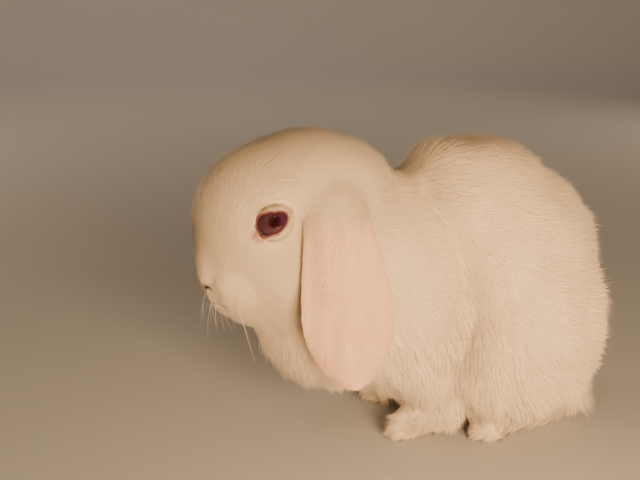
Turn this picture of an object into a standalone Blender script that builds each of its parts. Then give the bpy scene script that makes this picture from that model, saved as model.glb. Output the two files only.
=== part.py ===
"""A young white lop rabbit, sitting with its chin tucked in, at life size.

Metres, +Z up. The rabbit faces -X, its left side is towards -Y, and it sits on the floor at Z = 0.
The flesh and its coat are modelled as one body: rounded masses, named and sized in millimetres
below, are fused on a grid and smoothed. Thin cuts then part it into head, neck, trunk, tail and
legs. The ears are bent leaves that hang from the crown, and the eyes are balls in sockets.
"""

import math

import bmesh
import bpy
from mathutils import Euler, Matrix, Vector

MM = 0.001
GAP = 0.4  # clearance between neighbouring parts
CELL = 2.2  # grid on which the masses are fused
BODY_SMOOTHING = 45
LIMB_SMOOTHING = 7
BODY_TRIANGLES = 2700
BALL_SEGMENTS = 32
REGION_SEGMENTS = 16
EYE_SEGMENTS = 20
SMALLEST_PART = 200.0  # a cut-off crumb under this many cubic millimetres is dropped
SIDES = {"left": -1, "right": 1}

# Each mass is (centre, radii, pitch in degrees about Y). One off the middle plane is one of a pair.
HEAD = {
    "cranium": ((-42, 0, 102.5), (43, 31.5, 37.5), 0),
    "forehead": ((-59.5, 0, 101), (35, 28, 34), 0),
    "snout": ((-68, 0, 85), (26, 22, 26), 0),
    "whisker_pad": ((-76, 9, 75.5), (15.5, 12, 14), 25),
    "chin": ((-68.5, 0, 67), (18.5, 15, 15.5), 20),
    "cheek": ((-48, 13, 86), (29, 20, 28), 0),
}
NECK = {
    "nape": ((-26, 0, 101.5), (27, 28, 28.5), 25),
    "throat": ((-38, 0, 74), (30, 28, 24), 0),
    "ruff": ((-15, 0, 85), (33, 37.5, 36), 0),
}
TRUNK = {
    "chest": ((-32, 0, 55), (36, 31, 32), 0),
    "shoulder": ((-7, 18, 66), (27, 22.5, 41), 0),
    "withers": ((22.5, 0, 94.5), (31, 34, 39.5), 0),
    "ribs": ((37, 0, 77), (36, 41.5, 52), 0),
    "loin": ((35, 0, 79.5), (44, 39, 55), 0),
    "rump": ((46.5, 0, 70), (49, 43.5, 55), 0),
    "belly": ((26, 0, 40), (56, 34, 33), 0),
}
LEGS = {
    "upper_arm": ((8, 24, 42), (19, 15, 27), 0),
    "thigh": ((52, 29, 50), (37.5, 21, 41), 10),
    "knee": ((36, 32, 38), (21, 17, 26), 0),
}
TAIL = ((81.5, 0, 36), (12, 12, 18.5), -15)
# Limbs are runs of balls between joints: (x, y, z, radius).
FORELEG = ((14, 23, 40, 14), (15, 22, 22, 11.5), (13, 21, 11, 10.5), (2, 20, 6.6, 9), (-3, 20, 6.2, 8.5))
HIND_FOOT = ((74, 21, 13, 13), (64, 23, 8.5, 11), (48, 27, 7.2, 9.5), (38, 29, 6.8, 9.2), (33, 30, 6.2, 8.6))

# What belongs to each leg part: (centre, radii, yaw in degrees about Z), on the right side.
LEG_REGIONS = {
    "hindfoot": ((58, 27, 1), (41, 15.5, 19), -9),
    "forepaw": ((4, 21, 3), (20, 13.5, 13), 0),
    "hindleg": ((56, 37, 40), (42, 28, 44), -6),
    "foreleg": ((8, 32, 34), (22, 21, 34), 0),
}
TAIL_REGION = ((88, 0, 36), (16, 15, 22), -15, 0)
# Middle cuts as lines in the X-Z plane, from above the back to below the throat.
HEAD_CUT = ((0, 150), (-20, 98), (-32, 70), (-48, 59), (-90, 50))
NECK_CUT = ((9, 150), (-2, 98), (-16, 64), (-40, 45), (-90, 32))
CUT_HALF_WIDTH = 70

EYE_CENTRE = (-61.4, 20.6, 104.2)
EYE_RADIUS = 8.4

# The right ear hangs along this curve, root first.
EAR_LINE = ((-39, 16, 121), (-39, 30, 116), (-38, 37, 98), (-35, 40, 66), (-32, 41, 34.5))
# How far along it is, how wide, and how thick.
EAR_PROFILE = (
    (0.0, 17, 9),
    (0.25, 24, 8),
    (0.4, 28, 6),
    (0.5, 31.5, 5),
    (0.65, 38, 4),
    (0.75, 40.5, 3.8),
    (0.85, 35.5, 3.6),
    (0.92, 26.8, 3.4),
    (0.97, 17.5, 3),
    (0.99, 10.5, 2.4),
)
EAR_CUP = 3.5  # how far the edges bend in towards the cheek
EAR_YAW = 6.0  # degrees that the rear edge stands out
EAR_RINGS = 18
EAR_HALF_POINTS = 8  # points across one face of the ear

# Each kind of surface is (colour, roughness).
SURFACES = {
    "coat": ((0.80, 0.73, 0.62), 0.85),
    "ear": ((0.83, 0.60, 0.50), 0.75),
    "eye": ((0.20, 0.012, 0.018), 0.08),
}


def new_object(name, shape, collection):
    """Links a mesh, or a bmesh that it frees, as an object."""
    mesh = shape
    if isinstance(shape, bmesh.types.BMesh):
        mesh = bpy.data.meshes.new(name)
        shape.to_mesh(mesh)
        shape.free()
    made = bpy.data.objects.new(name, mesh)
    collection.objects.link(made)
    return made


def ball_mesh(centre, radii, pitch=0.0, yaw=0.0, grow=0.0, segments=BALL_SEGMENTS):
    """An ellipsoid's mesh, from millimetres and degrees."""
    turn = Euler((0, math.radians(pitch), math.radians(yaw)))
    size = (Vector(radii) + Vector((grow,) * 3)) * MM
    ball = bmesh.new()
    bmesh.ops.create_uvsphere(
        ball,
        u_segments=segments,
        v_segments=segments // 2,
        radius=1,
        matrix=Matrix.LocRotScale(Vector(centre) * MM, turn, size),
    )
    mesh = bpy.data.meshes.new("ball")
    ball.to_mesh(mesh)
    ball.free()
    return mesh


def add_ball(bm, *place, **options):
    """Adds an ellipsoid to the bmesh."""
    mesh = ball_mesh(*place, **options)
    bm.from_mesh(mesh)
    bpy.data.meshes.remove(mesh)


def add_limb(bm, joints, side):
    """Adds balls a third of a radius apart along a limb, with the radius blended between joints."""
    for (*start, r_start), (*end, r_end) in zip(joints, joints[1:]):
        start, end = Vector(start), Vector(end)
        steps = max(1, round((end - start).length / (min(r_start, r_end) / 3)))
        for step in range(steps + 1):
            x, y, z = start.lerp(end, step / steps)
            radius = r_start + (r_end - r_start) * step / steps
            add_ball(bm, (x, side * y, z), (radius,) * 3, segments=BALL_SEGMENTS // 2)


def settled(obj):
    """The object's evaluated mesh as a new mesh."""
    bpy.context.view_layer.update()
    graph = bpy.context.evaluated_depsgraph_get()
    return bpy.data.meshes.new_from_object(obj.evaluated_get(graph))


def settle(obj):
    """Applies the object's modifiers."""
    mesh = settled(obj)
    obj.modifiers.clear()
    obj.data = mesh


def cut(obj, cutter, operation="DIFFERENCE"):
    """Applies a Boolean to the object."""
    boolean = obj.modifiers.new("cut", "BOOLEAN")
    boolean.operation = operation
    boolean.object = cutter
    boolean.use_self = True
    settle(obj)


def islands(bm):
    """The bmesh's connected sets of faces."""
    waiting, found = set(bm.faces), []
    while waiting:
        reached = [waiting.pop()]
        for face in reached:
            for edge in face.edges:
                fresh = [f for f in edge.link_faces if f in waiting]
                waiting.difference_update(fresh)
                reached += fresh
        found.append(reached)
    return found


def bodies_of(obj, collection):
    """Splits an object into its separate bodies, largest first, and drops crumbs."""
    whole = bmesh.new()
    whole.from_mesh(obj.data)
    for number, faces in enumerate(islands(whole)):
        for face in faces:
            face.material_index = number
    count = number + 1
    labelled = bpy.data.meshes.new("labelled")
    whole.to_mesh(labelled)
    whole.free()
    found = []
    for number in range(count):
        one = bmesh.new()
        one.from_mesh(labelled)
        others = [f for f in one.faces if f.material_index != number]
        bmesh.ops.delete(one, geom=others, context="FACES")
        for face in one.faces:
            face.material_index = 0
        volume = one.calc_volume() / MM**3
        if volume < SMALLEST_PART:
            one.free()
            continue
        found.append((volume, new_object("piece", one, collection)))
    bpy.data.meshes.remove(labelled)
    bpy.data.objects.remove(obj)
    return [piece for _, piece in sorted(found, key=lambda pair: -pair[0])]


def centre_of(obj):
    """The middle of the object's box, in metres."""
    return sum((Vector(corner) for corner in obj.bound_box), Vector()) / 8


def fuse(obj, rounds):
    """Fuses the object's overlapping shapes into one skin and smooths it."""
    remesh = obj.modifiers.new("fuse", "REMESH")
    remesh.mode = "VOXEL"
    remesh.voxel_size = CELL * MM
    smooth = obj.modifiers.new("smooth", "SMOOTH")
    smooth.iterations = rounds
    settle(obj)


def whole_body(collection):
    """All masses and limbs as one smooth closed body, alike on both sides."""
    bm = bmesh.new()
    for masses in (HEAD, NECK, TRUNK, LEGS):
        for (x, y, z), radii, pitch in masses.values():
            for side in SIDES.values() if y else (1,):
                add_ball(bm, (x, side * y, z), radii, pitch)
    body = new_object("body", bm, collection)
    fuse(body, BODY_SMOOTHING)
    bm = bmesh.new()
    bm.from_mesh(body.data)
    add_ball(bm, *TAIL)
    for side in SIDES.values():
        add_limb(bm, FORELEG, side)
        add_limb(bm, HIND_FOOT, side)
    bm.to_mesh(body.data)
    bm.free()
    fuse(body, LIMB_SMOOTHING)
    triangles = sum(len(face.vertices) - 2 for face in body.data.polygons)
    decimate = body.modifiers.new("reduce", "DECIMATE")
    decimate.ratio = BODY_TRIANGLES / triangles
    mirror = body.modifiers.new("mirror", "MIRROR")
    mirror.use_axis = (False, True, False)
    mirror.use_bisect_axis = (False, True, False)
    mirror.merge_threshold = 0.05 * MM
    settle(body)
    return body


def ribbon(line, helpers):
    """A thin folded plate that stands across the body along a line in the X-Z plane."""
    bm = bmesh.new()
    rows = [
        [bm.verts.new(Vector((x, side * CUT_HALF_WIDTH, z)) * MM) for side in (-1, 1)]
        for x, z in line
    ]
    for (a, b), (c, d) in zip(rows, rows[1:]):
        bm.faces.new((a, b, d, c))
    plate = new_object("plate", bm, helpers)
    solidify = plate.modifiers.new("thickness", "SOLIDIFY")
    solidify.thickness = GAP * MM
    solidify.offset = 0
    settle(plate)
    return plate


def parted(obj, line, collection, helpers):
    """The two pieces of an object cut along a line: the one in front comes first."""
    cut(obj, ribbon(line, helpers))
    return sorted(bodies_of(obj, collection)[:2], key=lambda piece: centre_of(piece).x)


def region(places, grow, helpers):
    """One cutter that holds an ellipsoid for each (centre, radii, pitch, yaw)."""
    bm = bmesh.new()
    for centre, radii, pitch, yaw in places:
        add_ball(bm, centre, radii, pitch, yaw, grow=grow, segments=REGION_SEGMENTS)
    return new_object("region", bm, helpers)


def leg_places(side):
    """The leg regions on one side, by name."""
    return {
        name: ((x, side * y, z), radii, 0, side * yaw)
        for name, ((x, y, z), radii, yaw) in LEG_REGIONS.items()
    }


def claimed(body, place, earlier, collection, helpers):
    """The piece of the body inside a region, less what earlier regions have claimed."""
    part = new_object("part", body.data.copy(), collection)
    cut(part, region([place], 0, helpers), "INTERSECT")
    if earlier:
        cut(part, region(earlier, GAP, helpers))
    return bodies_of(part, collection)[0]


def catmull_rom(points, t):
    """A smooth curve through the points, at t from 0 to 1."""
    ends = [points[0] * 2 - points[1], *points, points[-1] * 2 - points[-2]]
    place = min(t, 0.999999) * (len(points) - 1)
    i, u = int(place), place % 1
    a, b, c, d = ends[i : i + 4]
    return 0.5 * (2 * b + (c - a) * u + (2 * a - 5 * b + 4 * c - d) * u**2 + (3 * b - a - 3 * c + d) * u**3)


def along(profile, t):
    """The ear's (width, thickness) at t, smoothly blended between the rows of its profile."""
    rows = [Vector(row) for row in profile]
    low, high = 0.0, 1.0
    for _ in range(40):
        middle = (low + high) / 2
        if catmull_rom(rows, middle).x < t:
            low = middle
        else:
            high = middle
    return catmull_rom(rows, low)[1:]


def ear_shape(side):
    """A closed leaf bent along the ear's line, thick at the root and cupped towards the cheek."""
    line = [Vector((x, side * y, z)) for x, y, z in EAR_LINE]
    bm = bmesh.new()
    rings = []
    last = EAR_PROFILE[-1][0]
    for ring in range(EAR_RINGS + 1):
        t = last * math.sin(ring / EAR_RINGS * math.pi / 2)
        width, thick = along(EAR_PROFILE, t)
        middle = catmull_rom(line, t)
        tangent = (catmull_rom(line, t + 0.01) - catmull_rom(line, t - 0.01 if t > 0.01 else 0)).normalized()
        yaw = math.radians(EAR_YAW)
        across = Vector((math.cos(yaw), side * math.sin(yaw), 0))
        across = (across - tangent * across.dot(tangent)).normalized()
        out = across.cross(tangent) * side
        if out.y * side < 0 and t > 0.2:
            out = -out
        points = []
        count = EAR_HALF_POINTS
        for step in range(2 * count - 2):
            angle = math.pi * step / (count - 1)
            u, lift = math.cos(angle), math.sin(angle)
            cup = EAR_CUP * u * u * min(1, t / 0.25)
            offset = across * (u * width / 2) + out * (lift * thick / 2 - cup)
            points.append(bm.verts.new((middle + offset) * MM))
        rings.append(points)
    for one, two in zip(rings, rings[1:]):
        for i in range(len(one)):
            j = (i + 1) % len(one)
            bm.faces.new((one[i], one[j], two[j], two[i]))
    bm.faces.new(rings[0])
    tip = bm.verts.new(catmull_rom(line, 1.0) * MM)
    for i in range(len(rings[-1])):
        bm.faces.new((rings[-1][i], rings[-1][(i + 1) % len(rings[-1])], tip))
    bmesh.ops.recalc_face_normals(bm, faces=bm.faces)
    return bm


def grown(obj, helpers):
    """A copy of an object that is larger by the gap."""
    copy = new_object("grown", obj.data.copy(), helpers)
    displace = copy.modifiers.new("grow", "DISPLACE")
    displace.strength = GAP * MM
    displace.mid_level = 0
    settle(copy)
    return copy


def finish(part, name, shift, root):
    """Moves a part by the shift, puts its origin at its middle, parents it and gives it a material."""
    part.name = name
    middle = centre_of(part)
    part.data.transform(Matrix.Translation(-middle))
    part.location = middle + shift
    part.parent = root
    part.data.shade_smooth()
    kind = name.split("_")[0]
    colour, roughness = SURFACES.get(kind, SURFACES["coat"])
    material = bpy.data.materials.new(f"{name}_surface")
    material.use_nodes = True
    shader = material.node_tree.nodes["Principled BSDF"]
    shader.inputs["Base Color"].default_value = (*colour, 1)
    shader.inputs["Roughness"].default_value = roughness
    shader.inputs["Metallic"].default_value = 0
    material.diffuse_color = (*colour, 1)
    part.data.materials.clear()
    part.data.materials.append(material)


def main():
    for obj in list(bpy.data.objects):
        bpy.data.objects.remove(obj)
    rabbit = bpy.data.collections.new("rabbit")
    helpers = bpy.data.collections.new("helpers")
    helpers.hide_render = True
    for collection in (rabbit, helpers):
        bpy.context.scene.collection.children.link(collection)

    body = whole_body(rabbit)
    floor = bmesh.new()
    bmesh.ops.create_cube(floor, size=1, matrix=Matrix.Translation((0, 0, -0.5)))
    cut(body, new_object("floor", floor, helpers))
    skin = grown(body, helpers)

    parts = {}
    places = [TAIL_REGION]
    parts["tail"] = claimed(body, TAIL_REGION, [], rabbit, helpers)
    for side_name, side in SIDES.items():
        earlier = []
        for leg, place in leg_places(side).items():
            parts[f"{leg}_{side_name}"] = claimed(body, place, earlier, rabbit, helpers)
            earlier.append(place)
        places += earlier
    cut(body, region(places, GAP, helpers))
    body = bodies_of(body, rabbit)[0]
    head, rest = parted(body, HEAD_CUT, rabbit, helpers)
    neck, trunk = parted(rest, NECK_CUT, rabbit, helpers)
    parts.update(head=head, neck=neck, trunk=trunk)

    for side_name, side in SIDES.items():
        x, y, z = EYE_CENTRE
        place = ((x, side * y, z), (EYE_RADIUS,) * 3)
        socket = ball_mesh(*place, grow=GAP, segments=EYE_SEGMENTS)
        cut(head, new_object("socket", socket, helpers))
        eye = ball_mesh(*place, segments=EYE_SEGMENTS)
        parts[f"eye_{side_name}"] = new_object("eye", eye, rabbit)
        ear = new_object("ear", ear_shape(side), rabbit)
        cut(ear, skin)
        parts[f"ear_{side_name}"] = bodies_of(ear, rabbit)[0]

    corners = [Vector(corner) for part in parts.values() for corner in part.bound_box]
    low = Vector(map(min, zip(*corners)))
    high = Vector(map(max, zip(*corners)))
    shift = Vector((-(low.x + high.x) / 2, -(low.y + high.y) / 2, -low.z))
    root = bpy.data.objects.new("rabbit_root", None)
    rabbit.objects.link(root)
    for name, part in parts.items():
        finish(part, name, shift, root)
    for helper in list(helpers.objects):
        bpy.data.objects.remove(helper)


main()
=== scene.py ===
"""The looks of a young white lop rabbit: skin, eyes, nose, claws, whiskers and a coat of fine tufts.

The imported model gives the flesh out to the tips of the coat. One skin is drawn in from it by the
coat's depth, and the coat is grown on that skin. Lengths are in millimetres unless a name says
otherwise, and the rabbit faces -X with its left side towards -Y.
"""

import logging
import math
from dataclasses import dataclass, field
from enum import Enum
from typing import Any, Iterable, Sequence

import bmesh
import bpy
import numpy as np
from mathutils import Matrix, Vector
from mathutils.bvhtree import BVHTree
from mathutils.kdtree import KDTree


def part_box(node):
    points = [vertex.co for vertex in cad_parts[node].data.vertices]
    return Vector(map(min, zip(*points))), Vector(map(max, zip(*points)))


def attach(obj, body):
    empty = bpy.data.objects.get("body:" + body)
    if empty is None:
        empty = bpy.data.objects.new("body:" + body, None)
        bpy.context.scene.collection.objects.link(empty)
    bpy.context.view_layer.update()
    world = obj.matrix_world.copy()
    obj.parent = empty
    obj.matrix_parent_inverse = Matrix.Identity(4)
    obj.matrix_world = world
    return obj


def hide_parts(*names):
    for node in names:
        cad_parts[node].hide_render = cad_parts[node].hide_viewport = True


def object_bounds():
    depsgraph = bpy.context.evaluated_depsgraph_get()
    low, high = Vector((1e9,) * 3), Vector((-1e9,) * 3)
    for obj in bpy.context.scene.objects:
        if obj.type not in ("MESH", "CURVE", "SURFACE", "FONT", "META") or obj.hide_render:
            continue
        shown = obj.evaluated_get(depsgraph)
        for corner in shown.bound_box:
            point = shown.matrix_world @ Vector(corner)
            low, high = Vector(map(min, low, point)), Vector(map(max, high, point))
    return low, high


MM = 0.001
SEED = 2207
log = logging.getLogger("rabbit")
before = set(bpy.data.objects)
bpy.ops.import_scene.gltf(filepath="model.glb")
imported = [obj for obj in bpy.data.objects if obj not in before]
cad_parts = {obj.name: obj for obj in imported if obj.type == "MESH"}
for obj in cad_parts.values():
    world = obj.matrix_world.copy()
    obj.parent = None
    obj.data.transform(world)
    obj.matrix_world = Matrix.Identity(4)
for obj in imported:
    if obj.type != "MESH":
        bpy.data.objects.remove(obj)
cad_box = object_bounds()

Array = np.ndarray


class Side(Enum):
    """The rabbit's two sides, as the sign of Y."""

    LEFT = -1
    RIGHT = 1

    @property
    def word(self) -> str:
        """The side's name in piece names."""
        return self.name.lower()


# ---------------------------------------------------------------- small tools


def linear(hex_colour: str) -> tuple[float, float, float, float]:
    """Turns an sRGB hex colour into linear RGBA.

    Args:
        hex_colour: six hex digits.

    Returns:
        The linear colour with alpha 1.
    """
    parts = [int(hex_colour[i : i + 2], 16) / 255 for i in (0, 2, 4)]
    return (*(c / 12.92 if c <= 0.04045 else ((c + 0.055) / 1.055) ** 2.4 for c in parts), 1.0)


def unit(vectors: Array) -> Array:
    """Vectors of length 1 along the last axis."""
    return vectors / np.maximum(np.linalg.norm(vectors, axis=-1, keepdims=True), 1e-12)


def smoothstep(low: float, high: float, values: Array) -> Array:
    """0 below low, 1 above high, with an eased slope between."""
    t = np.clip((values - low) / (high - low), 0, 1)
    return t * t * (3 - 2 * t)


def add_node(tree: bpy.types.NodeTree, kind: str, settings: dict | None = None, **links: Any) -> Any:
    """Adds a node to a tree with its settings, values and links.

    Args:
        tree: the node tree.
        kind: the node's type name.
        settings: properties of the node itself.
        links: socket name with spaces as underscores, to a value or to an output socket.

    Returns:
        The new node.
    """
    node = tree.nodes.new(kind)
    for name, value in (settings or {}).items():
        setattr(node, name, value)
    for name, value in links.items():
        label = name.replace("_", " ")
        sockets = [s for s in node.inputs if s.identifier == name] or [
            s for s in node.inputs if s.name == label and s.enabled
        ]
        socket = sockets[0]
        if isinstance(value, bpy.types.NodeSocket):
            tree.links.new(value, socket)
        else:
            socket.default_value = value
    return node


def new_material(name: str) -> tuple[bpy.types.Material, bpy.types.NodeTree, Any]:
    """Makes a material with a lone Principled shader.

    Args:
        name: the material's name.

    Returns:
        (the material, its node tree, its shader).
    """
    material = bpy.data.materials.new(name)
    material.use_nodes = True
    return material, material.node_tree, material.node_tree.nodes["Principled BSDF"]


def set_sockets(shader: Any, **values: Any) -> None:
    """Sets a shader's sockets, whose names have underscores for spaces."""
    for name, value in values.items():
        shader.inputs[name.replace("_", " ")].default_value = value


def link_object(name: str, mesh: bpy.types.Mesh) -> bpy.types.Object:
    """Links a mesh into the scene as an object at the origin.

    Args:
        name: the object's name.
        mesh: its mesh.

    Returns:
        The object.
    """
    made = bpy.data.objects.new(name, mesh)
    bpy.context.scene.collection.objects.link(made)
    return made


def mesh_of(name: str, points: Array, triangles: Array) -> bpy.types.Mesh:
    """Builds a smooth-shaded triangle mesh from arrays.

    Args:
        name: the mesh's name.
        points: one row of millimetres for each vertex.
        triangles: one row of three vertex numbers for each face.

    Returns:
        The mesh, in metres.
    """
    mesh = bpy.data.meshes.new(name)
    mesh.vertices.add(len(points))
    mesh.vertices.foreach_set("co", (points * MM).astype(np.float32).ravel())
    mesh.loops.add(triangles.size)
    mesh.loops.foreach_set("vertex_index", triangles.astype(np.int32).ravel())
    mesh.polygons.add(len(triangles))
    mesh.polygons.foreach_set("loop_start", np.arange(0, triangles.size, 3, dtype=np.int32))
    mesh.update(calc_edges=True)
    mesh.polygons.foreach_set("use_smooth", np.ones(len(triangles), bool))
    return mesh


def points_of(mesh: bpy.types.Mesh) -> Array:
    """The mesh's vertices in millimetres.

    Args:
        mesh: any mesh.

    Returns:
        One row for each vertex.
    """
    flat = np.empty(len(mesh.vertices) * 3, np.float32)
    mesh.vertices.foreach_get("co", flat)
    return flat.reshape(-1, 3).astype(float) / MM


def normals_of(mesh: bpy.types.Mesh) -> Array:
    """The mesh's vertex normals.

    Args:
        mesh: any mesh.

    Returns:
        One row for each vertex.
    """
    flat = np.empty(len(mesh.vertices) * 3, np.float32)
    mesh.vertex_normals.foreach_get("vector", flat)
    return flat.reshape(-1, 3).astype(float)


def triangles_of(mesh: bpy.types.Mesh) -> Array:
    """The mesh's faces as rows of three vertex numbers.

    Args:
        mesh: any mesh.

    Returns:
        One row for each triangle.
    """
    mesh.calc_loop_triangles()
    flat = np.empty(len(mesh.loop_triangles) * 3, np.int32)
    mesh.loop_triangles.foreach_get("vertices", flat)
    return flat.reshape(-1, 3)


def edges_of(mesh: bpy.types.Mesh) -> Array:
    """The mesh's edges as rows of two vertex numbers.

    Args:
        mesh: any mesh.

    Returns:
        One row for each edge.
    """
    flat = np.empty(len(mesh.edges) * 2, np.int32)
    mesh.edges.foreach_get("vertices", flat)
    return flat.reshape(-1, 2)


def set_points(mesh: bpy.types.Mesh, points: Array) -> None:
    """Moves the mesh's vertices to new places in millimetres."""
    mesh.vertices.foreach_set("co", (points * MM).astype(np.float32).ravel())
    mesh.update()


def set_values(mesh: bpy.types.Mesh, name: str, values: Array) -> None:
    """Stores one number for each vertex under a name."""
    layer = mesh.attributes.new(name, "FLOAT", "POINT")
    layer.data.foreach_set("value", values.astype(np.float32))


def averaged(values: Array, edges: Array, rounds: int) -> Array:
    """Smooths values over a mesh: each round mixes a vertex half with its neighbours.

    Args:
        values: one row for each vertex.
        edges: rows of two vertex numbers.
        rounds: how often to mix.

    Returns:
        The smoothed rows.
    """
    columns = values.reshape(len(values), -1).astype(float)
    ends = np.concatenate([edges[:, 0], edges[:, 1]])
    others = np.concatenate([edges[:, 1], edges[:, 0]])
    counts = np.maximum(np.bincount(ends, minlength=len(values)), 1)
    for _ in range(rounds):
        for c in range(columns.shape[1]):
            near = np.bincount(ends, columns[others, c], minlength=len(values)) / counts
            columns[:, c] = (columns[:, c] + near) / 2
    return columns.reshape(values.shape)


def ripple(points: Array, across: float, seed: int) -> Array:
    """Smooth seeded unevenness between about -1 and 1.

    Args:
        points: places in millimetres.
        across: how far apart the swells are, in millimetres.
        seed: seeds their directions.

    Returns:
        One value for each place.
    """
    draw = np.random.default_rng(seed)
    ways = unit(draw.normal(0, 1, (7, 3))) * 2 * np.pi / across * draw.uniform(0.7, 1.4, (7, 1))
    return np.sin(points @ ways.T + draw.uniform(0, 2 * np.pi, 7)).sum(1) / 3.2


def stroke_distance(places: Array, stroke: Sequence[Sequence[float]]) -> Array:
    """How far each place is from a line of straight pieces, in any number of dimensions.

    Args:
        places: one row for each place.
        stroke: the line's corners.

    Returns:
        One distance for each place.
    """
    best = np.full(len(places), np.inf)
    for start, end in zip(stroke, stroke[1:]):
        a, b = np.array(start, float), np.array(end, float)
        along = np.clip(((places - a) @ (b - a)) / ((b - a) @ (b - a)), 0, 1)
        best = np.minimum(best, np.linalg.norm(places - a - along[:, None] * (b - a), axis=1))
    return best


def evaluated_mesh(obj: bpy.types.Object) -> bpy.types.Mesh:
    """A plain copy of the object's mesh with its modifiers applied."""
    bpy.context.view_layer.update()
    return bpy.data.meshes.new_from_object(obj.evaluated_get(bpy.context.evaluated_depsgraph_get()))


def fused(shapes: Iterable[bmesh.types.BMesh], cell: float, rounds: int) -> bpy.types.Mesh:
    """Fuses overlapping closed shapes into one skin.

    Args:
        shapes: the shapes, which are freed.
        cell: the grid's size in millimetres.
        rounds: how often the result is smoothed.

    Returns:
        The fused mesh.
    """
    whole = bmesh.new()
    for shape in shapes:
        part = bpy.data.meshes.new("part")
        shape.to_mesh(part)
        shape.free()
        whole.from_mesh(part)
        bpy.data.meshes.remove(part)
    mesh = bpy.data.meshes.new("whole")
    whole.to_mesh(mesh)
    whole.free()
    obj = link_object("whole", mesh)
    remesh = obj.modifiers.new("fuse", "REMESH")
    remesh.mode = "VOXEL"
    remesh.voxel_size = cell * MM
    smooth = obj.modifiers.new("smooth", "SMOOTH")
    smooth.iterations = rounds
    result = evaluated_mesh(obj)
    bpy.data.objects.remove(obj)
    bpy.data.meshes.remove(mesh)
    return result


def ball(centre: Sequence[float], radii: Sequence[float], yaw: float = 0.0) -> bmesh.types.BMesh:
    """An ellipsoid.

    Args:
        centre: its middle in millimetres.
        radii: its three half widths in millimetres.
        yaw: how far it is turned about Z, in degrees.

    Returns:
        The shape.
    """
    shape = bmesh.new()
    turn = Matrix.Rotation(math.radians(yaw), 3, "Z").to_quaternion()
    place = Matrix.LocRotScale(Vector(centre) * MM, turn, Vector(radii) * MM)
    bmesh.ops.create_uvsphere(shape, u_segments=24, v_segments=14, radius=1, matrix=place)
    return shape


def grown_node(name: str, by: float) -> bmesh.types.BMesh:
    """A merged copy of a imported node, larger all round.

    Args:
        name: the node.
        by: how far the surface moves out, in millimetres.

    Returns:
        The shape.
    """
    shape = bmesh.new()
    shape.from_mesh(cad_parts[name].data)
    bmesh.ops.remove_doubles(shape, verts=shape.verts, dist=0.002 * MM)
    shape.normal_update()
    for vertex in shape.verts:
        vertex.co += vertex.normal * by * MM
    return shape


def box_mm(node: str) -> tuple[Array, Array]:
    """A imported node's lowest and highest corner in millimetres."""
    low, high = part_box(node)
    return np.array(low) / MM, np.array(high) / MM


# ---------------------------------------------------------------- the lie of the coat


@dataclass(frozen=True)
class Zone:
    """How the coat grows on one part of the body.

    depth is how thick the coat lies, length a tuft's length and width its width, all in
    millimetres. lift and tip_lift are degrees off the skin at the root and at the tip. gather is
    how far tips pull together into locks, and density is tufts for each square millimetre.
    """

    nodes: tuple[str, ...]
    depth: float
    length: float
    width: float
    lift: float
    tip_lift: float
    gather: float
    density: float


ZONES = {
    "muzzle": Zone((), 0.9, 2.4, 0.22, 20, 20, 0.0, 8.5),
    "face": Zone(("head",), 1.7, 5.0, 0.25, 20, 22, 0.04, 6.2),
    "crown": Zone((), 2.1, 7.8, 0.29, 22, 24, 0.06, 4.8),
    "neck": Zone(("neck",), 3.3, 11.5, 0.31, 25, 6, 0.12, 2.5),
    "trunk": Zone(("trunk",), 3.5, 12.0, 0.32, 25, 6, 0.12, 2.15),
    "haunch": Zone(("hindleg_left", "hindleg_right"), 3.4, 12.0, 0.32, 25, 6, 0.12, 2.15),
    "foreleg": Zone(("foreleg_left", "foreleg_right"), 2.6, 9.5, 0.31, 25, 6, 0.10, 2.4),
    "forepaw": Zone(("forepaw_left", "forepaw_right"), 1.7, 4.8, 0.27, 23, 23, 0.10, 3.4),
    "hindfoot": Zone(("hindfoot_left", "hindfoot_right"), 1.8, 5.2, 0.27, 23, 23, 0.10, 3.2),
    "tail": Zone(("tail",), 4.2, 8.5, 0.34, 36, 18, 0.20, 2.4),
    "ear": Zone(("ear_left", "ear_right"), 0.6, 2.8, 0.21, 12, 12, 0.0, 3.9),
}
ZONE_NAMES = tuple(ZONES)
EAR = ZONE_NAMES.index("ear")


def zone_values(weights: Array, what: str) -> Array:
    """One of the zones' numbers, blended by each vertex's share in the zones."""
    return weights @ np.array([getattr(zone, what) for zone in ZONES.values()])


@dataclass
class Landmarks:
    """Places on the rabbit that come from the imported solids, in millimetres."""

    low: Array = field(default_factory=lambda: np.array(cad_box[0]) / MM)
    high: Array = field(default_factory=lambda: np.array(cad_box[1]) / MM)

    def eye(self, side: Side) -> Array:
        """The middle of an eyeball."""
        low, high = box_mm(f"eye_{side.word}")
        return (low + high) / 2

    @property
    def eye_radius(self) -> float:
        """The radius of an eyeball."""
        low, high = box_mm("eye_left")
        return float((high - low)[2] / 2)

    @property
    def nose(self) -> Array:
        """The tip of the nose, a little above the chin on the front of the face."""
        low, high = box_mm("head")
        return np.array([low[0] + 4.0, 0.0, low[2] + 0.235 * (high[2] - low[2])])

    def ear_root(self, side: Side) -> Array:
        """Where an ear leaves the crown."""
        low, high = box_mm(f"ear_{side.word}")
        return np.array([(low[0] + high[0]) / 2 - 3.5, side.value * 24.0, high[2] - 6.5])

    @property
    def ear_tip(self) -> Array:
        """Where an ear ends, on the left side."""
        places = points_of(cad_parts["ear_left"].data)
        return places[places[:, 2].argmin()]


SPOT = Landmarks()


def side_sign(points: Array) -> Array:
    """-1 on the rabbit's left and 1 on its right."""
    return np.where(points[:, 1] < 0, -1.0, 1.0)


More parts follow.
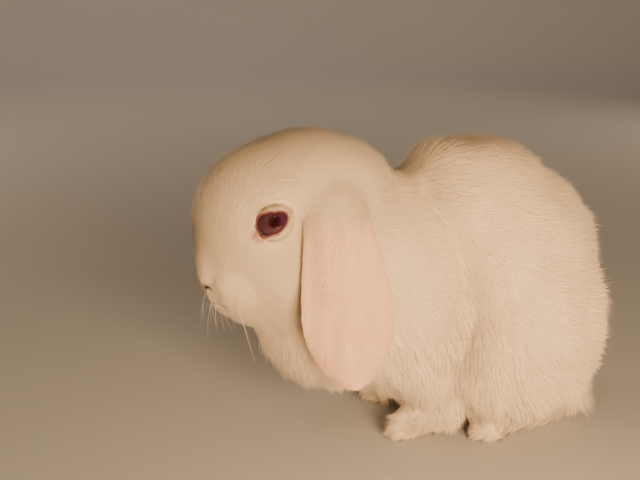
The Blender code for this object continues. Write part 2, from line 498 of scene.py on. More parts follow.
def lie_of_coat(points: Array, normals: Array, weights: Array) -> Array:
    """The way the coat lies, as unit vectors along the skin.

    Fur runs from the nose over the face and crown, back and down along the body, down the legs
    and forward on the feet, and it parts round the eyes.

    Args:
        points: places on the skin.
        normals: the skin's normals there.
        weights: each place's share in the zones.

    Returns:
        One tangent for each place.
    """
    zone = {name: weights[:, i : i + 1] for i, name in enumerate(ZONE_NAMES)}
    x, z = points[:, 0], points[:, 2]
    height = np.clip(z / SPOT.high[2], 0, 1)
    steep = np.radians(18 + 62 * smoothstep(0.75, 0.15, height))
    steep = steep - np.radians(38) * smoothstep(15, 75, x) * smoothstep(0.9, 0.3, height)
    body = np.stack([np.cos(steep), 0 * x, -np.sin(steep)], axis=1)
    source = SPOT.nose + np.array([4.0, 0.0, 1.5])
    face = unit(points - source)
    side = side_sign(points)
    fan = (x - SPOT.ear_tip[0]) / 11 * smoothstep(58, 38, z)
    ear = np.stack([0.06 + 0.8 * fan, 0.15 * side, -1 + 0 * x], axis=1)
    down = np.stack([0.25 + 0 * x, 0.1 * side, -1 + 0 * x], axis=1)
    forward = np.stack([-1 + 0 * x, 0 * x, -0.25 + 0 * x], axis=1)
    tail = np.stack([0.3 + 0 * x, 0.25 * side, 1 + 0 * x], axis=1)
    chest = smoothstep(0, -45, x)[:, None] * np.array([[0.2, 0.0, -1.0]])
    lie = (
        face * (zone["muzzle"] + zone["face"] + zone["crown"])
        + (body + chest) * (zone["neck"] + zone["trunk"] + zone["haunch"])
        + down * zone["foreleg"]
        + forward * (zone["forepaw"] + zone["hindfoot"])
        + tail * zone["tail"]
        + ear * zone["ear"]
    )
    # Over the ear's root the coat turns down, and round the eye it parts as a stream does.
    for one in Side:
        reach = np.linalg.norm(points - SPOT.ear_root(one), axis=1)
        lie += 1.4 * smoothstep(22, 6, reach)[:, None] * np.array([[0.15, 0.5 * one.value, -1.0]])
    lie = unit(lie - normals * (lie * normals).sum(1, keepdims=True))
    for one in Side:
        away = points - SPOT.eye(one)
        away -= normals * (away * normals).sum(1, keepdims=True)
        reach = np.linalg.norm(away, axis=1, keepdims=True)
        turn = np.clip((7.5 / np.maximum(reach, 7.5)) ** 2, 0, 1)
        near = np.linalg.norm(points - SPOT.eye(one), axis=1, keepdims=True) < 26
        outward = away / np.maximum(reach, 1e-6)
        parted = lie - turn * (2 * (lie * outward).sum(1, keepdims=True) * outward - lie)
        lie = np.where(near, parted + 0.25 * turn * outward, lie)
    return unit(lie - normals * (lie * normals).sum(1, keepdims=True))


# ---------------------------------------------------------------- the skin


@dataclass(frozen=True)
class Fold:
    """A crease on both sides of the body, or a swelling where deep is below 0.

    stroke runs through (along the body, sideways, upward) places in millimetres.
    """

    stroke: tuple[tuple[float, float, float], ...]
    wide: float
    deep: float


FOLDS = (
    # Behind the shoulder, from the dip in the back down to the foreleg.
    Fold(
        ((1.5, 14.0, 111.0), (4.5, 21.0, 105.5), (8.0, 26.0, 99.0), (12.0, 28.5, 91.0),
         (17.0, 31.0, 77.0), (19.0, 33.0, 63.0), (16.5, 35.5, 49.0), (13.0, 35.0, 37.0), (17.0, 31.0, 23.5)),
        5.4, 3.6,
    ),
    # Between the foreleg and the haunch.
    Fold(((17.0, 35.0, 50.0), (14.0, 35.0, 37.0), (16.0, 31.5, 25.0)), 3.6, 2.0),
    # A slight hollow at the nape.
    Fold(((-33.0, 0.0, 131.0), (-18.0, 0.0, 123.0)), 9.0, 1.4),
    # Under the mantle's hem, over the foreleg.
    Fold(((-16.0, 34.0, 50.5), (-9.0, 34.0, 46.0), (0.0, 34.0, 43.0), (9.0, 34.5, 42.0)), 3.4, 1.7),
    # Above the heel, and the heel's own swelling.
    Fold(((45.0, 44.0, 39.5), (57.0, 44.0, 41.0), (70.0, 39.0, 35.0)), 2.8, 1.8),
    Fold(((48.0, 42.0, 29.0), (62.0, 40.0, 28.0)), 6.0, -1.8),
    # Round the whisker pad.
    Fold(
        ((-89.0, 10.0, 79.0), (-86.0, 15.0, 81.5), (-82.5, 17.0, 82.5), (-77.0, 19.4, 80.5),
         (-73.0, 20.0, 76.0), (-70.5, 18.0, 69.0)),
        1.9, 0.8,
    ),
    # Beside the nose the face falls back.
    Fold(((-88.0, 12.0, 84.0), (-88.5, 11.5, 78.0), (-87.0, 11.0, 71.0)), 5.0, 1.7),
    # Behind the eye's rear corner.
    Fold(((-59.5, 26.0, 110.5), (-56.0, 26.5, 107.0)), 4.6, 1.6),
    # In front of the eye.
    Fold(((-73.0, 22.0, 109.0), (-73.6, 22.4, 104.0), (-74.6, 22.4, 98.0)), 2.4, 0.7),
)
# In front of the eye the skin is bare, and the mantle and the haunch end in ragged hems.
TEAR_CORNER = ((-70.3, 22.6, 103.0), (-70.9, 23.5, 98.9), (-68.6, 23.8, 98.0), (-69.4, 23.2, 100.4))
HEM = ((-17.0, 34.0, 58.0), (-9.0, 34.0, 54.0), (0.0, 34.0, 51.0), (10.0, 34.5, 50.0), (17.0, 35.0, 54.0))
HAUNCH_HEM = (
    (19.0, 32.0, 27.0), (29.0, 38.0, 26.0), (44.0, 40.0, 24.0), (65.0, 36.0, 21.0), (80.0, 28.0, 24.0),
)


def mirrored(points: Array) -> Array:
    """The places with their sideways part made positive."""
    return np.stack([points[:, 0], np.abs(points[:, 1]), points[:, 2]], axis=1)


def jagged(near: Array) -> Array:
    """The places with the mantle's hem, low on the shoulder, wandering up and down.

    Args:
        near: places on one side, in millimetres.

    Returns:
        The shifted places.
    """
    low = smoothstep(66, 56, near[:, 2]) * smoothstep(32, 40, near[:, 2]) * smoothstep(24, 12, near[:, 0])
    wander = low * 3.2 * ripple(near * (1.0, 0.0, 0.0), 12.0, SEED + 6)
    return near + wander[:, None] * np.array([[0.0, 0.0, 1.0]])


@dataclass
class Skin:
    """One skin over all the flesh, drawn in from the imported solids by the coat's depth.

    cell and final_cell are the sizes of the grids that fuse it, and overlap is how far the solids grow
    to meet, in millimetres.
    """

    cell: float = 1.0
    final_cell: float = 1.16
    overlap: float = 0.35
    toe_count: int = 4
    mesh: bpy.types.Mesh = field(init=False)
    points: Array = field(init=False)
    normals: Array = field(init=False)
    weights: Array = field(init=False)
    lie: Array = field(init=False)
    pink: Array = field(init=False)
    # Painted shade in the nostrils, along the lips and at the lids' inner edge.
    dark: Array = field(init=False)
    fur: Array = field(init=False)
    lock: Array = field(init=False)
    streak: Array = field(init=False)

    def flesh_nodes(self) -> list[str]:
        """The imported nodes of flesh, the ears left out."""
        return [n for zone in ZONES.values() for n in zone.nodes if not n.startswith("ear")]

    def shares(self, points: Array, eared: Array) -> Array:
        """Each place's share in the zones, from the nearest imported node, unsmoothed.

        Args:
            points: places in millimetres.
            eared: which places are on an ear.

        Returns:
            One row for each place and one column for each zone.
        """
        flesh = self.flesh_nodes()
        rows = [
            (i, points_of(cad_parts[n].data))
            for i, zone in enumerate(ZONES.values())
            for n in zone.nodes
            if n in flesh
        ]
        tree = KDTree(sum(len(p) for _, p in rows))
        owner = []
        for i, places in rows:
            for place in places:
                tree.insert(place, len(owner))
                owner.append(i)
        tree.balance()
        found = np.array([owner[tree.find(p)[1]] for p in points])
        weights = np.eye(len(ZONES))[np.where(eared, EAR, found)]
        face = ZONE_NAMES.index("face")
        reach = np.linalg.norm(points - SPOT.nose, axis=1)
        head = weights[:, face].copy()
        muzzle = smoothstep(26, 9, reach)
        crown = smoothstep(34, 62, reach)
        weights[:, face] = head * (1 - muzzle - crown)
        weights[:, ZONE_NAMES.index("muzzle")] += head * muzzle
        weights[:, ZONE_NAMES.index("crown")] += head * crown
        rooted = weights[:, EAR] * self.root_share(points, Side.LEFT)
        weights[:, EAR] -= rooted
        weights[:, ZONE_NAMES.index("crown")] += rooted
        return weights

    def body(self) -> bmesh.types.BMesh:
        """Everything but the ears, drawn in by the coat's depth.

        Returns:
            The shape.
        """
        shapes = [grown_node(name, self.overlap) for name in self.flesh_nodes()]
        for side in Side:
            x, y, z = SPOT.eye(side)
            wide = SPOT.eye_radius + 2.6
            place = (x - 0.2, y - side.value * 0.6, z + 0.4)
            shapes.append(ball(place, (wide, SPOT.eye_radius - 2.1, wide), 12.3 * side.value))
        mesh = fused(shapes, self.cell, 3)
        points, edges = points_of(mesh), edges_of(mesh)
        outline = BVHTree.FromPolygons(points.tolist(), triangles_of(mesh).tolist())
        weights = averaged(self.shares(points, np.zeros(len(points), bool)), edges, 40)
        depth = zone_values(weights, "depth") + self.overlap
        drawn = averaged(points, edges, 12)
        for rounds in (8, 4, 3):
            set_points(mesh, drawn)
            normals = normals_of(mesh)
            gone = np.empty(len(drawn))
            for i, place in enumerate(drawn):
                nearest, face, _, gap = outline.find_nearest(place)
                gone[i] = math.copysign(gap, face.dot(nearest - Vector(place)))
            short = np.clip(depth - gone, -4, 6)
            drawn = averaged(drawn - normals * short[:, None], edges, rounds)
        set_points(mesh, drawn)
        near, normals = jagged(mirrored(drawn)), normals_of(mesh)
        for fold in FOLDS:
            sink = fold.deep * np.exp(-((stroke_distance(near, fold.stroke) / fold.wide) ** 2))
            drawn = drawn - normals * sink[:, None]
        # The coat parts in soft swells over the body.
        coated = np.clip(weights[:, [ZONE_NAMES.index(n) for n in ("neck", "trunk", "haunch")]].sum(1), 0, 1)
        drawn = drawn + normals * (0.7 * coated * ripple(drawn * (1, 1, 0.5), 17.0, SEED + 8))[:, None]
        hanging = self.locks(drawn, weights) * ripple(drawn * (1, 1, 0.22), 6.5, SEED + 9)
        drawn = drawn + normals * (0.8 * hanging)[:, None]
        drawn = averaged(drawn, edges, 2)
        drawn[:, 2] = np.maximum(drawn[:, 2], 0.25)
        set_points(mesh, drawn)
        shape = bmesh.new()
        shape.from_mesh(mesh)
        bpy.data.meshes.remove(mesh)
        return shape

    def root_share(self, points: Array, side: Side) -> Array:
        """How far a place on an ear belongs to its root, where the crown's coat covers it."""
        top = box_mm(f"ear_{side.word}")[1][2]
        return smoothstep(top - 23, top - 4, points[:, 2])

    def ear(self, side: Side) -> bpy.types.Mesh:
        """An ear's closed skin, drawn in by its short coat, with its root sunk into the crown.

        Args:
            side: which ear.

        Returns:
            The ear's mesh.
        """
        shape = grown_node(f"ear_{side.word}", 0)
        mesh = bpy.data.meshes.new("ear")
        shape.to_mesh(mesh)
        shape.free()
        obj = link_object("ear", mesh)
        subdivide = obj.modifiers.new("subdivide", "SUBSURF")
        subdivide.levels = subdivide.render_levels = 2
        fine = evaluated_mesh(obj)
        bpy.data.objects.remove(obj)
        bpy.data.meshes.remove(mesh)
        points = points_of(fine)
        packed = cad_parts[f"ear_{side.word}"].data
        solid = BVHTree.FromPolygons(points_of(packed).tolist(), triangles_of(packed).tolist())
        points = np.array([solid.find_nearest(place)[0] for place in points.tolist()])
        points = averaged(points, edges_of(fine), 2)
        set_points(fine, points)
        rooted = self.root_share(points, side)
        points = points - normals_of(fine) * ZONES["ear"].depth * 0.5
        points[:, 1] -= side.value * 5.5 * rooted**1.5
        low, high = box_mm(f"ear_{side.word}")
        across = (points[:, 0] - low[0]) / (high[0] - low[0])
        valley = np.exp(-(((across - 0.33) / 0.07) ** 2)) + 0.5 * np.exp(-(((across - 0.68) / 0.06) ** 2))
        relief = 0.4 * ripple(points * (1, 0, 0.14), 8.0, SEED)
        relief -= 0.9 * valley * smoothstep(40, 60, points[:, 2])
        points[:, 1] += side.value * relief * (1 - rooted)
        set_points(fine, points)
        return fine

    def stub(self, side: Side) -> list[bmesh.types.BMesh]:
        """The swelling on the crown that an ear grows from."""
        x, y, z = SPOT.ear_root(side)
        return [ball((x, y + side.value * 1.6, z - 12.0), (13.5, 8.2, 15.5))]

    def melt_roots(self) -> None:
        """Melts the swelling that each ear grows from into the crown."""
        points, edges = points_of(self.mesh), edges_of(self.mesh)
        melted = averaged(points, edges, 45)
        share = np.zeros(len(points))
        for side in Side:
            reach = np.linalg.norm(points - SPOT.ear_root(side) + (0, 0, 9), axis=1)
            share = np.maximum(share, smoothstep(25, 15, reach))
        set_points(self.mesh, points + (melted - points) * share[:, None])

    def ear_fur(self, points: Array, normals: Array) -> Array:
        """How thick the coat is on an ear: full outside, thin inside and none inside along the edge.

        Args:
            points: places on the ears.
            normals: the skin's normals there.

        Returns:
            One share for each place, from 0 to 1.
        """
        facing = normals[:, 1] * side_sign(points)
        tree = KDTree(len(points))
        for i in np.flatnonzero(np.abs(facing) < 0.45):
            tree.insert(points[i], int(i))
        tree.balance()
        edge = np.array([tree.find(p)[2] for p in points])
        inside = smoothstep(2.5, 4.5, edge) * 0.4
        return np.where(facing < -0.1, inside, 1.0)

    def toes(self, side: Side) -> list[bmesh.types.BMesh]:
        """The toes of a fore and a hind foot as rounded bumps.

        Args:
            side: which side's feet.

        Returns:
            One shape for each toe.
        """
        return [
            ball(place, radii, yaw)
            for foot in ("forepaw", "hindfoot")
            for place, radii, yaw in toe_places(foot, side, self.toe_count)
        ]

    def build(self, eyes: "dict[Side, Eye]") -> None:
        """Makes the skin's mesh and works out the zones, the lie of the coat and the pink.

        Args:
            eyes: the eyes, whose lids are part of the skin.
        """
        shapes = [self.body()]
        for side in Side:
            shapes += self.stub(side)
            shapes += self.toes(side)
        self.mesh = fused(shapes, self.final_cell, 4)
        self.melt_roots()
        self.sculpt_muzzle()
        ears_from = len(self.mesh.vertices)
        self.add_shells([self.ear(side) for side in Side])
        lids_from = len(self.mesh.vertices)
        bands = [eye.lid() for eye in eyes.values()]
        self.add_shells([mesh_of("lid", band.points, band.faces) for band in bands])
        self.points, edges = points_of(self.mesh), edges_of(self.mesh)
        self.normals = normals_of(self.mesh)
        number = np.arange(len(self.points))
        eared = (number >= ears_from) & (number < lids_from)
        self.weights = averaged(self.shares(self.points, eared), edges, 8)
        lie = lie_of_coat(self.points, self.normals, self.weights)
        stir = np.stack([ripple(self.points, 23.0, SEED + k) for k in range(3)], axis=1)
        lie = averaged(lie + 0.16 * stir * (1 - self.weights[:, EAR, None]), edges, 12)
        self.lie = unit(lie - self.normals * (lie * self.normals).sum(1, keepdims=True))
        self.pink = self.blush(self.points)
        self.pink[lids_from:] = np.concatenate([band.pink for band in bands])
        # Painted shade in the nostrils and along the lips, and at the lids' inner edge from the lid bands.
        self.dark = Muzzle().shade(self.points)
        self.dark[lids_from:] = np.concatenate([band.dark for band in bands])
        self.fur = self.furred(self.points)
        self.fur[eared] *= self.ear_fur(self.points[eared], self.normals[eared])
        self.fur[lids_from:] = np.concatenate([band.fur for band in bands])
        self.lock = self.locks(self.points, self.weights)
        self.streak = self.streaks(self.points) * self.weights[:, EAR]
        for name in ("pink", "dark", "streak"):
            set_values(self.mesh, name, getattr(self, name))
        set_values(self.mesh, "ear", self.weights[:, EAR])

    def furred(self, points: Array) -> Array:
        """Where tufts grow: not under the eyeballs and lids, in the nostrils or under the soles.

        Args:
            points: the skin's vertices.

        Returns:
            One share for each vertex, from 0 to 1.
        """
        keep = smoothstep(0.35, 0.8, points[:, 2])
        for side in Side:
            reach = np.linalg.norm(points - SPOT.eye(side), axis=1)
            keep = keep * smoothstep(SPOT.eye_radius + 0.2, SPOT.eye_radius + 0.7, reach)
        keep = keep * (1 - smoothstep(0.15, 0.5, Muzzle().shade(points)))
        keep = keep * smoothstep(0.5, 1.1, stroke_distance(mirrored(points), TEAR_CORNER))
        # Little shows under the belly, so less grows there.
        under = smoothstep(-0.3, -0.8, self.normals[:, 2]) * smoothstep(34, 22, points[:, 2])
        return keep * (1 - 0.6 * under)

    def locks(self, points: Array, weights: Array) -> Array:
        """How far the coat hangs in locks: along the hems and low on the body.

        Args:
            points: places on the skin.
            weights: each place's share in the zones.

        Returns:
            One value for each place, from 0 to 1.
        """
        near = jagged(mirrored(points))
        body = 1 - weights[:, [ZONE_NAMES.index(n) for n in ("muzzle", "face", "crown", "ear")]].sum(1)
        hem = np.exp(-((stroke_distance(near, HEM) / 7.0) ** 2))
        skirt = 0.9 * np.exp(-((stroke_distance(near, HAUNCH_HEM) / 8.0) ** 2))
        low = 0.6 * smoothstep(60, 25, points[:, 2])
        return np.clip(body, 0, 1) * np.maximum.reduce([hem, skirt, low])

    def streaks(self, points: Array) -> Array:
        """Darker lines that run down the ear.

        Args:
            points: places on the skin.

        Returns:
            One value for each place, from 0 to 1.
        """
        low, high = box_mm("ear_left")
        across = (points[:, 0] - low[0]) / (high[0] - low[0])
        wander = 0.03 * ripple(points * (0, 0, 1), 34.0, SEED + 3)
        broken = np.clip(0.6 + 0.6 * ripple(points * (1.6, 0, 0.35), 7.0, SEED + 4), 0, 1)
        lines = np.exp(-(((across - 0.29 - wander) / 0.13) ** 2))
        lines += 0.5 * np.exp(-(((across - 0.64 - wander) / 0.08) ** 2))
        fine = np.clip(ripple(points * (1.0, 0, 0.04), 2.4, SEED + 5), 0, 1)
        return np.clip(1.5 * lines * broken * (0.35 + 0.65 * fine), 0, 1) * smoothstep(36, 52, points[:, 2])

    def add_shells(self, shells: Iterable[bpy.types.Mesh]) -> None:
        """Adds closed shells to the skin, and removes their own meshes.

        Args:
            shells: the shells' meshes.
        """
        shape = bmesh.new()
        shape.from_mesh(self.mesh)
        for shell in shells:
            shape.from_mesh(shell)
            bpy.data.meshes.remove(shell)
        shape.to_mesh(self.mesh)
        shape.free()
        self.mesh.polygons.foreach_set("use_smooth", np.ones(len(self.mesh.polygons), bool))

    def blush(self, points: Array) -> Array:
        """How far the pink of the skin shows: at the nose and in front of the eyes.

        Args:
            points: places on the skin.

        Returns:
            One value for each place, from 0 to 1.
        """
        reach = np.linalg.norm((points - SPOT.nose) * (0.8, 1, 1), axis=1)
        corner = smoothstep(2.3, 1.2, stroke_distance(mirrored(points), TEAR_CORNER))
        return np.maximum(0.75 * smoothstep(6.0, 1.5, reach), 0.8 * corner)

    def sculpt_muzzle(self) -> None:
        """Refines the front of the face and presses nostrils, split lip and mouth into it."""
        shape = bmesh.new()
        shape.from_mesh(self.mesh)
        nose = Vector(SPOT.nose)
        for reach in (17, 11):
            near = [
                e
                for e in shape.edges
                if all((v.co / MM - nose).length < reach for v in e.verts)
            ]
            bmesh.ops.subdivide_edges(shape, edges=near, cuts=1, use_grid_fill=True)
            bmesh.ops.triangulate(shape, faces=[f for f in shape.faces if len(f.verts) > 4])
        shape.to_mesh(self.mesh)
        shape.free()
        points, normals = points_of(self.mesh), normals_of(self.mesh)
        points = points + normals * Muzzle().relief(points)[:, None]
        set_points(self.mesh, points)


@dataclass(frozen=True)
class Muzzle:
    """The relief of the nose and mouth, as grooves and swellings on the front of the face, with shade painted
    in the grooves.

    Each stroke runs through (sideways, upward) places from the nose's tip, in millimetres.
    """

    nostril: tuple[tuple[float, float], ...] = ((1.4, -1.9), (3.4, -1.0), (5.6, 0.2), (7.9, -0.3))
    lip_split: tuple[tuple[float, float], ...] = ((0.0, -1.8), (0.0, -4.4), (0.0, -7.0))
    mouth: tuple[tuple[float, float], ...] = ((0.0, -7.0), (3.5, -8.4), (7.5, -8.4), (11.5, -6.8))
    swellings: tuple[tuple[tuple[float, float], float, float], ...] = (
        ((0.0, 1.0), 3.2, 1.0), ((3.6, -5.0), 3.2, 0.9), ((4.0, 3.0), 2.2, 0.6), ((0.0, -11.0), 4.5, 1.2),
    )

    @staticmethod
    def front(points: Array) -> tuple[Array, Array]:
        """(Sideways and upward places from the nose's tip, how far each place is on the face's front)."""
        local = points - SPOT.nose
        places = np.stack([np.abs(local[:, 1]), local[:, 2]], axis=1)
        return places, (np.linalg.norm(local, axis=1) < 18) * smoothstep(14, 7, local[:, 0])

    def relief(self, points: Array) -> Array:
        """How far each place moves out along its normal.

        Args:
            points: places on the face.

        Returns:
            One height for each place, in millimetres.
        """
        places, front = self.front(points)
        height = np.zeros(len(points))
        grooves = ((self.nostril, 0.8, 1.7), (self.lip_split, 0.55, 1.0), (self.mouth, 0.65, 1.0))
        for stroke, wide, deep in grooves:
            height -= deep * np.exp(-((stroke_distance(places, stroke) / wide) ** 2))
        for at, wide, tall in self.swellings:
            height += tall * np.exp(-((np.linalg.norm(places - np.array(at), axis=1) / wide) ** 2))
        return height * front

    def shade(self, points: Array) -> Array:
        """How much shade is painted at each place: deep in the nostrils and less along the lips.

        Args:
            points: places on the face.

        Returns:
            One value for each place, from 0 to 1.
        """
        places, front = self.front(points)
        # Painted shade: darkest deep in the nostril grooves, fainter along the mouth and the split lip.
        pit = 1.1 * np.exp(-((stroke_distance(places, self.nostril) / 0.75) ** 2))
        lips = 0.6 * np.exp(-((stroke_distance(places, self.mouth) / 0.5) ** 2))
        split = 0.55 * np.exp(-((stroke_distance(places, self.lip_split) / 0.45) ** 2))
        return np.clip(np.maximum.reduce([pit, lips, split]), 0, 1) * front


def toe_places(foot: str, side: Side, count: int) -> list[tuple[Array, tuple[float, float, float], float]]:
    """Where the toes of a foot are.

    Args:
        foot: forepaw or hindfoot.
        side: which side it is on.
        count: how many toes show.

    Returns:
        For each toe its middle, radii and yaw in degrees.
    """
    low, high = box_mm(f"{foot}_{side.word}")
    fore = foot == "forepaw"
    middle = 20.0 if fore else 30.6
    spread = 3.3 if fore else 3.4
    front = low[0] + (6.6 if fore else 7.4)
    yaw = 0.0 if fore else -9.0 * side.value
    found = []
    for i in range(count):
        offset = i - (count - 1) / 2
        x = front + 0.85 * offset**2
        y = side.value * middle + offset * spread
        found.append((np.array([x - 0.6, y, 3.5]), (5.8, 1.75, 3.3), yaw + offset * 5))
    return found


# ---------------------------------------------------------------- tufts


@dataclass
class Growth:
    """Roots for tufts, with what each needs: place, normal, lie, zone shares and so on."""

    place: Array
    normal: Array
    lie: Array
    weights: Array
    streak: Array
    lock: Array
    uv: Array
    scale: Array


@dataclass
class TuftShape:
    """The form of a thin tapered tuft, three-sided and closed.

    It has some rings, at steps along it from 0 to 1, with widths as shares of its full width. patch
    is how wide its place in the OFBake map is, and softness how far its shading follows the skin's.
    """

    rings: int
    steps: tuple[float, ...]
    widths: tuple[float, ...]
    patch: float = 0.003
    softness: float = 0.86

    def faces(self) -> Array:
        """The triangles of one tuft.

        Returns:
            Rows of three vertex numbers.
        """
        rows = [(0, 1, 2)]
        for ring in range(self.rings - 1):
            for i in range(3):
                a, b = 3 * ring + i, 3 * ring + (i + 1) % 3
                rows += [(a, b + 3, b), (a, a + 3, b + 3)]
        top, tip = 3 * (self.rings - 1), 3 * self.rings
        rows += [(top + i, tip, top + (i + 1) % 3) for i in range(3)]
        return np.array(rows)

    def count(self) -> int:
        """How many triangles a tuft has."""
        return 4 + 6 * (self.rings - 1)


DOWN = TuftShape(1, (0.0,), (1.0,))
LONG = TuftShape(2, (0.0, 0.46), (0.8, 0.9))


def centre_lines(roots: Growth, steps: Sequence[float], draw: np.random.Generator) -> tuple[Array, Array]:
    """The middle line of each tuft at each step, and its full width.

    Args:
        roots: where the tufts grow.
        steps: places along a tuft from 0 to 1, ending in 1.
        draw: the source of random numbers.

    Returns:
        (places, one row of steps for each tuft, and the full width of each tuft).
    """
    n = len(roots.place)
    length = zone_values(roots.weights, "length") * roots.scale * draw.uniform(0.75, 1.15, n)
    lift = np.radians(zone_values(roots.weights, "lift") * draw.uniform(0.75, 1.25, n))
    tip = np.radians(zone_values(roots.weights, "tip_lift") + draw.normal(0, 4, n))
    length = length * (1 + 0.45 * roots.lock)
    tip = tip + np.radians(9) * roots.lock * draw.random(n)
    guard = (draw.random(n) < 0.10) & (roots.weights[:, EAR] < 0.5)
    length = np.where(guard, length * 1.1, length)
    tip = np.where(guard, tip + np.radians(20), tip)
    across = unit(np.cross(roots.lie, roots.normal))
    swerve = draw.normal(0, 0.17, n)[:, None]
    ahead = unit(roots.lie + across * swerve)
    curl = draw.normal(0, 0.13, n)
    lines = []
    for s in steps:
        rise = length * s * np.sin(lift + (tip - lift) * s / 2)
        run = length * s * np.cos(lift + (tip - lift) * s / 2)
        line = roots.place + ahead * run[:, None] + roots.normal * (rise - 0.3)[:, None]
        line = line + across * (curl * length * s * s)[:, None]
        line[:, 2] -= 0.06 * length * s * s
        lines.append(line)
    width = zone_values(roots.weights, "width") * draw.uniform(0.8, 1.2, n)
    return np.stack(lines, axis=1), width * np.where(guard, 0.6, 1.0)


def gathered(
    lines: Array,
    roots: Growth,
    steps: Sequence[float],
    spacing: float,
    pull: Array,
    draw: np.random.Generator,
) -> Array:
    """Pulls tufts together towards the nearest lock's own tuft, most at the tips.

    Args:
        lines: the tufts' middle lines.
        roots: their roots.
        steps: places along a tuft.
        spacing: how far apart locks are, in millimetres.
        pull: how far each tuft is pulled, up to 1.
        draw: the source of random numbers.

    Returns:
        The new lines.
    """
    dense = float(np.mean(zone_values(roots.weights, "density")))
    leaders = np.flatnonzero(draw.random(len(lines)) < 1 / (dense * spacing**2))
    if len(leaders) < 2:
        return lines
    tree = KDTree(len(leaders))
    for i, leader in enumerate(leaders):
        tree.insert(roots.place[leader], i)
    tree.balance()
    nearest = leaders[[tree.find(p)[1] for p in roots.place]]
    amount = pull[:, None] * np.array(steps)[None, :] ** 1.5
    return lines + (lines[nearest] - lines) * amount[:, :, None]


def soften(mesh: bpy.types.Mesh, towards: Array, share: float) -> None:
    """Leans the shading normals of tufts towards the skin's, as a pile of fine hair shades.

    Args:
        mesh: the tufts.
        towards: the skin's normal for each vertex.
        share: how far the normals lean, up to 1.
    """
    mixed = unit(normals_of(mesh) * (1 - share) + towards * share)
    layer = mesh.attributes.new("custom_normal", "FLOAT_VECTOR", "POINT")
    layer.data.foreach_set("vector", mixed.astype(np.float32).ravel())


def tufts(name: str, shape: TuftShape, roots: Growth, spacing: float, seed: int) -> bpy.types.Mesh:
    """One mesh of many tufts, with its colour attributes and its OFBake map.

    Args:
        name: the mesh's name.
        shape: the form of a tuft.
        roots: where they grow.
        spacing: how far apart locks are.
        seed: seeds the random numbers.

    Returns:
        The mesh.
    """
    draw = np.random.default_rng(seed)
    steps = (*shape.steps, 1.0)
    lines, width = centre_lines(roots, steps, draw)
    pull = zone_values(roots.weights, "gather") + 0.55 * roots.lock
    lines = gathered(lines, roots, steps, spacing, np.clip(pull, 0, 0.8), draw)
    lines = gathered(lines, roots, steps, 2.4 * spacing, 0.34 * roots.lock, draw)
    n, rings = len(lines), shape.rings
    ahead = unit(np.diff(lines, axis=1))
    ahead = np.concatenate([ahead, ahead[:, -1:]], axis=1)
    across = unit(np.cross(ahead, roots.normal[:, None, :]))
    up = unit(np.cross(across, ahead))
    twist = draw.uniform(-0.3, 0.3, n)[:, None, None]
    across, up = across * np.cos(twist) + up * np.sin(twist), up * np.cos(twist) - across * np.sin(twist)
    rows = []
    for k in range(rings):
        half = (width * shape.widths[k] / 2)[:, None]
        for side, tall in ((-1.0, 0.0), (1.0, 0.0), (0.0, 0.45)):
            rows.append(lines[:, k] + across[:, k] * half * side + up[:, k] * half * tall)
    rows.append(lines[:, rings])
    points = np.stack(rows, axis=1)
    per = points.shape[1]
    faces = shape.faces()[None] + (np.arange(n) * per)[:, None, None]
    flat = points.reshape(-1, 3)
    flat[:, 2] = np.maximum(flat[:, 2], 0.05)
    mesh = mesh_of(name, flat, faces.reshape(-1, 3))
    along = np.array([s for s in shape.steps for _ in range(3)] + [1.0])
    set_values(mesh, "along", np.tile(along, n))
    soften(mesh, np.repeat(roots.normal, per, axis=0), shape.softness)
    set_values(mesh, "shade", np.repeat(draw.random(n), per))
    set_values(mesh, "streak", np.repeat(roots.streak, per))
    set_values(mesh, "ear", np.repeat(roots.weights[:, EAR], per))
    corner = np.array([[0.15 + 0.35 * i, s] for s in shape.steps for i in range(3)] + [[0.5, 1.0]])
    places = roots.uv[:, None, :] + (corner[None] - 0.5) * shape.patch
    layer = mesh.uv_layers.new(name="OFBake")
    loops = np.clip(places.reshape(-1, 2)[faces.reshape(-1)], 0, 1)
    layer.data.foreach_set("uv", loops.astype(np.float32).ravel())
    return mesh


